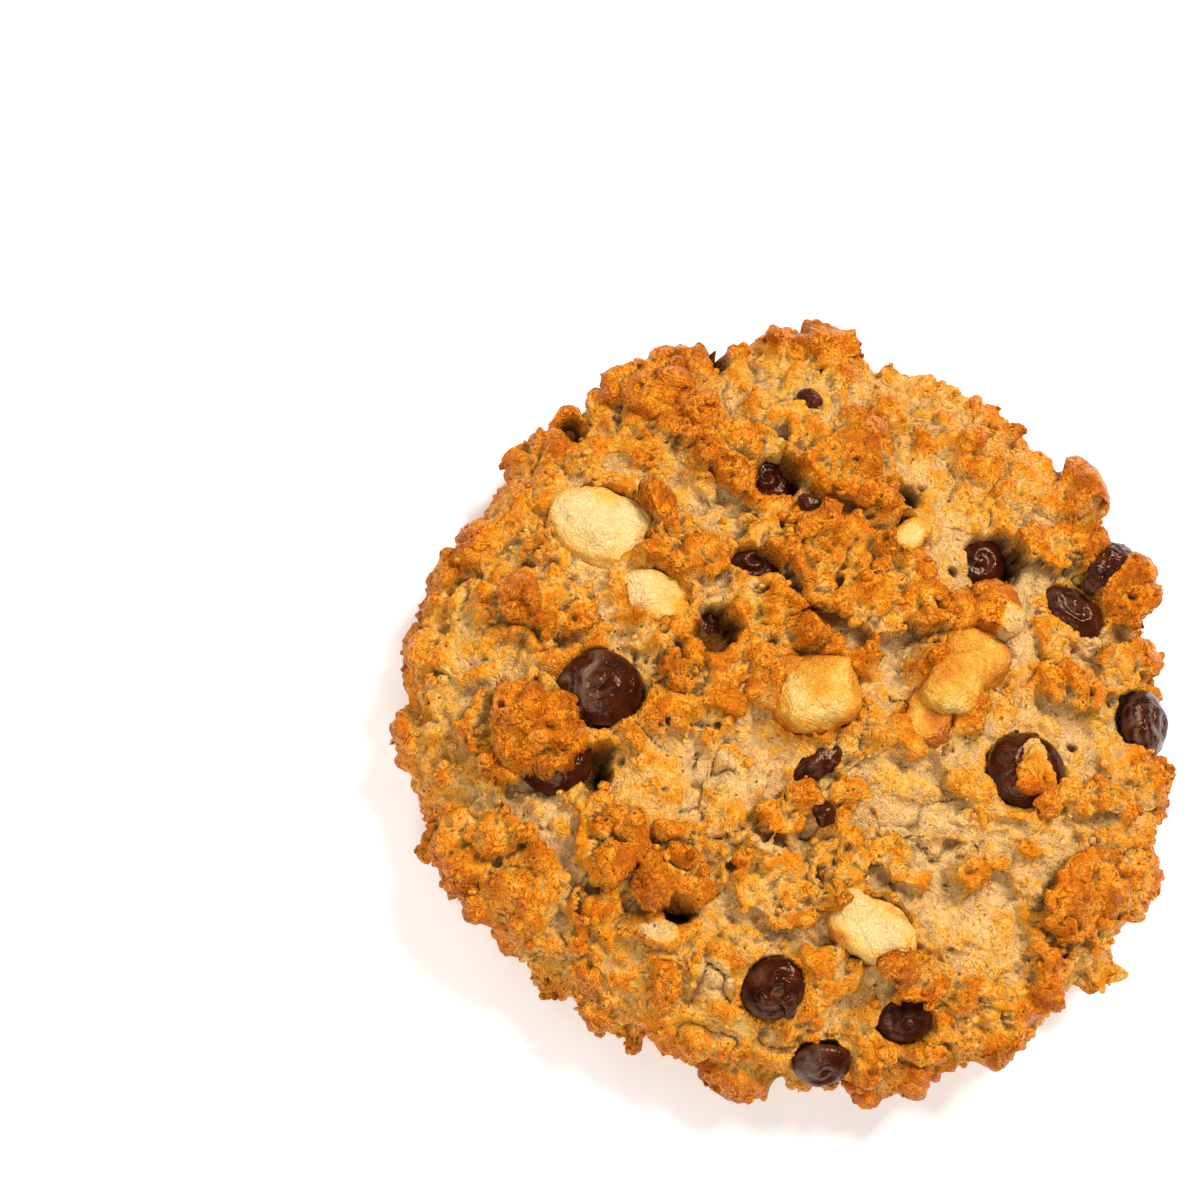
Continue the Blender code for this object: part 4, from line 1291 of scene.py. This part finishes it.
FINISHES = {"crust": (crust, "dough", "bake"), "chocolate": (chocolate, "chip", "bloom")}
for number, (name, (path, half_widths, half_thickness, finish, levels)) in enumerate(STRANDS.items()):
    points = strand_points(path, half_widths, half_thickness, SEED + 200 + number)
    material, slot, key = FINISHES[finish]
    along = np.repeat(np.linspace(0, 1, STRAND_SECTIONS), STRAND_SIDES)
    level = np.interp(along, np.linspace(0, 1, len(levels)), levels)
    tint = 0.12 * rough_noise(points, 3.0, SEED + 230 + number, 2)
    make_piece(name, points, strand_faces(), material, [], {key: level + tint, "hollow_shade": 0})

# %% Small bits
BITS = {  # x, y, half length, half width, half height, turn, depth of its middle, mark
    "dark_bit_middle": (4.0, -8.0, 3.0, 1.5, 1.1, 57, 0.75, 0.5),
    "dark_bit_far": (-14.0, 31.0, 1.7, 1.2, 1.1, -25, 0.75, 0.2),
    "dark_bit_near": (6.4, -14.0, 1.6, 1.3, 1.1, -35, 0.75, 0.3),
    "dark_bit_left": (-9.0, 18.0, 1.4, 1.2, 1.1, 10, 0.75, 0.2),
    "pale_bridge": (13.6, 6.0, 4.4, 3.0, 2.4, 68, 1.8, 0.56),
}

BIT_CELLS = 24
bit_unit, bit_faces = ball(BIT_CELLS)
for number, (name, (x, y, long, short, upright, turn, below, level)) in enumerate(BITS.items()):
    points = bit_unit * (long, short, upright)
    broken = 0.5 * rough_noise(points, 2.0, SEED + 260 + number, 3)
    uneven = broken + 0.8 * lump_noise(points, 2.2, SEED + number) - 0.4
    points = points + bit_unit * uneven[:, None] * (1, 0.7, 0.6)
    axes = np.array(Matrix.Rotation(np.radians(turn), 3, "Z"))
    points = points @ axes.T + (x, y, top_height(x, y, 1.0) - below)
    if name.startswith("dark"):
        make_piece(name, points, [bit_faces], chocolate, [], {"bloom": level})
    else:
        tint = 0.30 * smooth_noise(points, 3.0, SEED + 290)
        make_piece(name, points, [bit_faces], waxy, [], {"bake": level + tint})

# %% [markdown]
# ## Crumbs
# About a thousand crumbs, half a millimetre to a little over one across, stick to the rim and to the torn
# edges. A seeded draw picks points of the dough, more often on the rim, and sets a small stretched ball on
# each, half sunk. Copies as objects would be slow, so they all are one mesh, made in one go from arrays.

# %% Crumbs
CRUMB_COUNT = 1100
CRUMB_SIZES = (0.22, 0.65)  # half of their width
SMALL_CRUMB_POWER = 2.2  # above 1, small crumbs are more common than large ones
CRUMB_STRETCH = (0.7, 1.3)
CRUMB_CELLS = 3
CRUMB_DENTS = 0.25
CRUMB_LIFT = 0.15  # share of its size by which a crumb's middle stands out of the dough
CRUMB_TONES = (-0.05, 0.15)
LOWEST_CRUMB = 0.9


def crumb_cloud():
    """Many small stretched and turned balls as one array of points, their faces, and a mark a point."""
    draw = np.random.default_rng(SEED + 1)
    chance = (0.25 + 1.6 * on_rim + 0.8 * island_share + 1.2 * steepness) * (dough[:, 2] > LOWEST_CRUMB)
    chance *= (hollow_shade < 0.3) * np.where(net_path > BAND_END, 0, 1)
    spots = draw.choice(len(dough), CRUMB_COUNT, replace=False, p=chance / chance.sum())
    low, high = CRUMB_SIZES
    sizes = low + (high - low) * draw.random(CRUMB_COUNT) ** SMALL_CRUMB_POWER
    stretch = sizes[:, None] * draw.uniform(*CRUMB_STRETCH, (CRUMB_COUNT, 3))
    turns = np.linalg.qr(draw.normal(size=(CRUMB_COUNT, 3, 3)))[0]
    turns *= np.sign(np.linalg.det(turns))[:, None, None]
    unit, faces = ball(CRUMB_CELLS)
    dented = unit * (1 + CRUMB_DENTS * (draw.random((CRUMB_COUNT, len(unit), 1)) - 0.5))
    points = np.einsum("cij,cpj->cpi", turns, dented * stretch[:, None])
    points += (dough[spots] + normals[spots] * (CRUMB_LIFT * sizes)[:, None])[:, None]
    all_faces = faces[None] + (np.arange(CRUMB_COUNT) * len(unit))[:, None, None]
    tones = np.repeat(bake[spots] + draw.uniform(*CRUMB_TONES, CRUMB_COUNT), len(unit))
    return points.reshape(-1, 3), all_faces.reshape(-1, 4), tones


crumb_points, crumb_faces, crumb_tones = crumb_cloud()
crumb_marks = {"bake": crumb_tones, "hollow_shade": 0}
make_piece("crumbs", crumb_points, [crumb_faces], crust, [], crumb_marks)

# %% [markdown]
# ## Floor
# The cookie lies on a plain pale floor, as in a studio. It is much wider than the picture, so that no edge
# shows, and glows a little, which keeps it pale where the lamps fade.

# %% Floor
FLOOR_HALF_SIDE_M = 1.5


def floor_material():
    """Plain matt white, a little lit from below like a light table."""
    made, shader, _, _ = new_material("white ground")
    shader.inputs["Base Color"].default_value = (0.93, 0.93, 0.93, 1)
    shader.inputs["Roughness"].default_value = 0.9
    shader.inputs["Specular IOR Level"].default_value = 0.0
    shader.inputs["Emission Color"].default_value = (1, 1, 1, 1)
    shader.inputs["Emission Strength"].default_value = 0.25
    return made


def add_floor(side):
    """A flat square under the cookie, with this half side in metres."""
    mesh = bpy.data.meshes.new("floor")
    corners = [(-side, -side, 0), (side, -side, 0), (side, side, 0), (-side, side, 0)]
    mesh.from_pydata(corners, [], [(0, 1, 2, 3)])
    mesh.materials.append(floor_material())
    made = bpy.data.objects.new("floor", mesh)
    bpy.context.scene.collection.objects.link(made)
    return made


floor = add_floor(FLOOR_HALF_SIDE_M)
print(floor.name, "of", 2 * FLOOR_HALF_SIDE_M, "m")

# %% [markdown]
# ## Light
# One soft shadow falls to the lower left. So a soft lamp stands beyond the cookie to the upper right, and
# weaker ones at the left and near the camera open the shadows. A bright sky would do that too, but the
# glossy chips mirror it and would turn grey, so the sky is dim.

# %% Lamps
LAMP_AIM = Vector((0, 0, 0.01))
SKY_COLOUR = (1.0, 0.99, 0.98, 1)
SKY_STRENGTH = 0.20


def add_lamp(name, place, size, power, colour):
    """A square soft lamp that looks at the cookie."""
    data = bpy.data.lights.new(name, "AREA")
    data.size = size
    data.energy = power
    data.color = colour
    made = bpy.data.objects.new(name, data)
    bpy.context.scene.collection.objects.link(made)
    aim = (LAMP_AIM - Vector(place)).to_track_quat("-Z", "Y")
    made.matrix_world = Matrix.Translation(place) @ aim.to_matrix().to_4x4()
    return made


key = add_lamp("key", (0.16, 0.40, 0.75), 0.30, 9.5, (1.0, 0.965, 0.91))
left = add_lamp("left", (-0.55, 0.10, 0.55), 0.50, 1.5, (1.0, 0.975, 0.93))
near = add_lamp("near", (0.05, -0.60, 0.60), 0.50, 4.0, (1.0, 0.975, 0.93))
world = bpy.data.worlds.new("pale sky")
world.use_nodes = True
sky = world.node_tree.nodes["Background"]
sky.inputs["Color"].default_value = SKY_COLOUR
sky.inputs["Strength"].default_value = SKY_STRENGTH
bpy.context.scene.world = world
bpy.context.scene.view_settings.view_transform = "Standard"
print("lamps:", key.name, left.name, near.name)
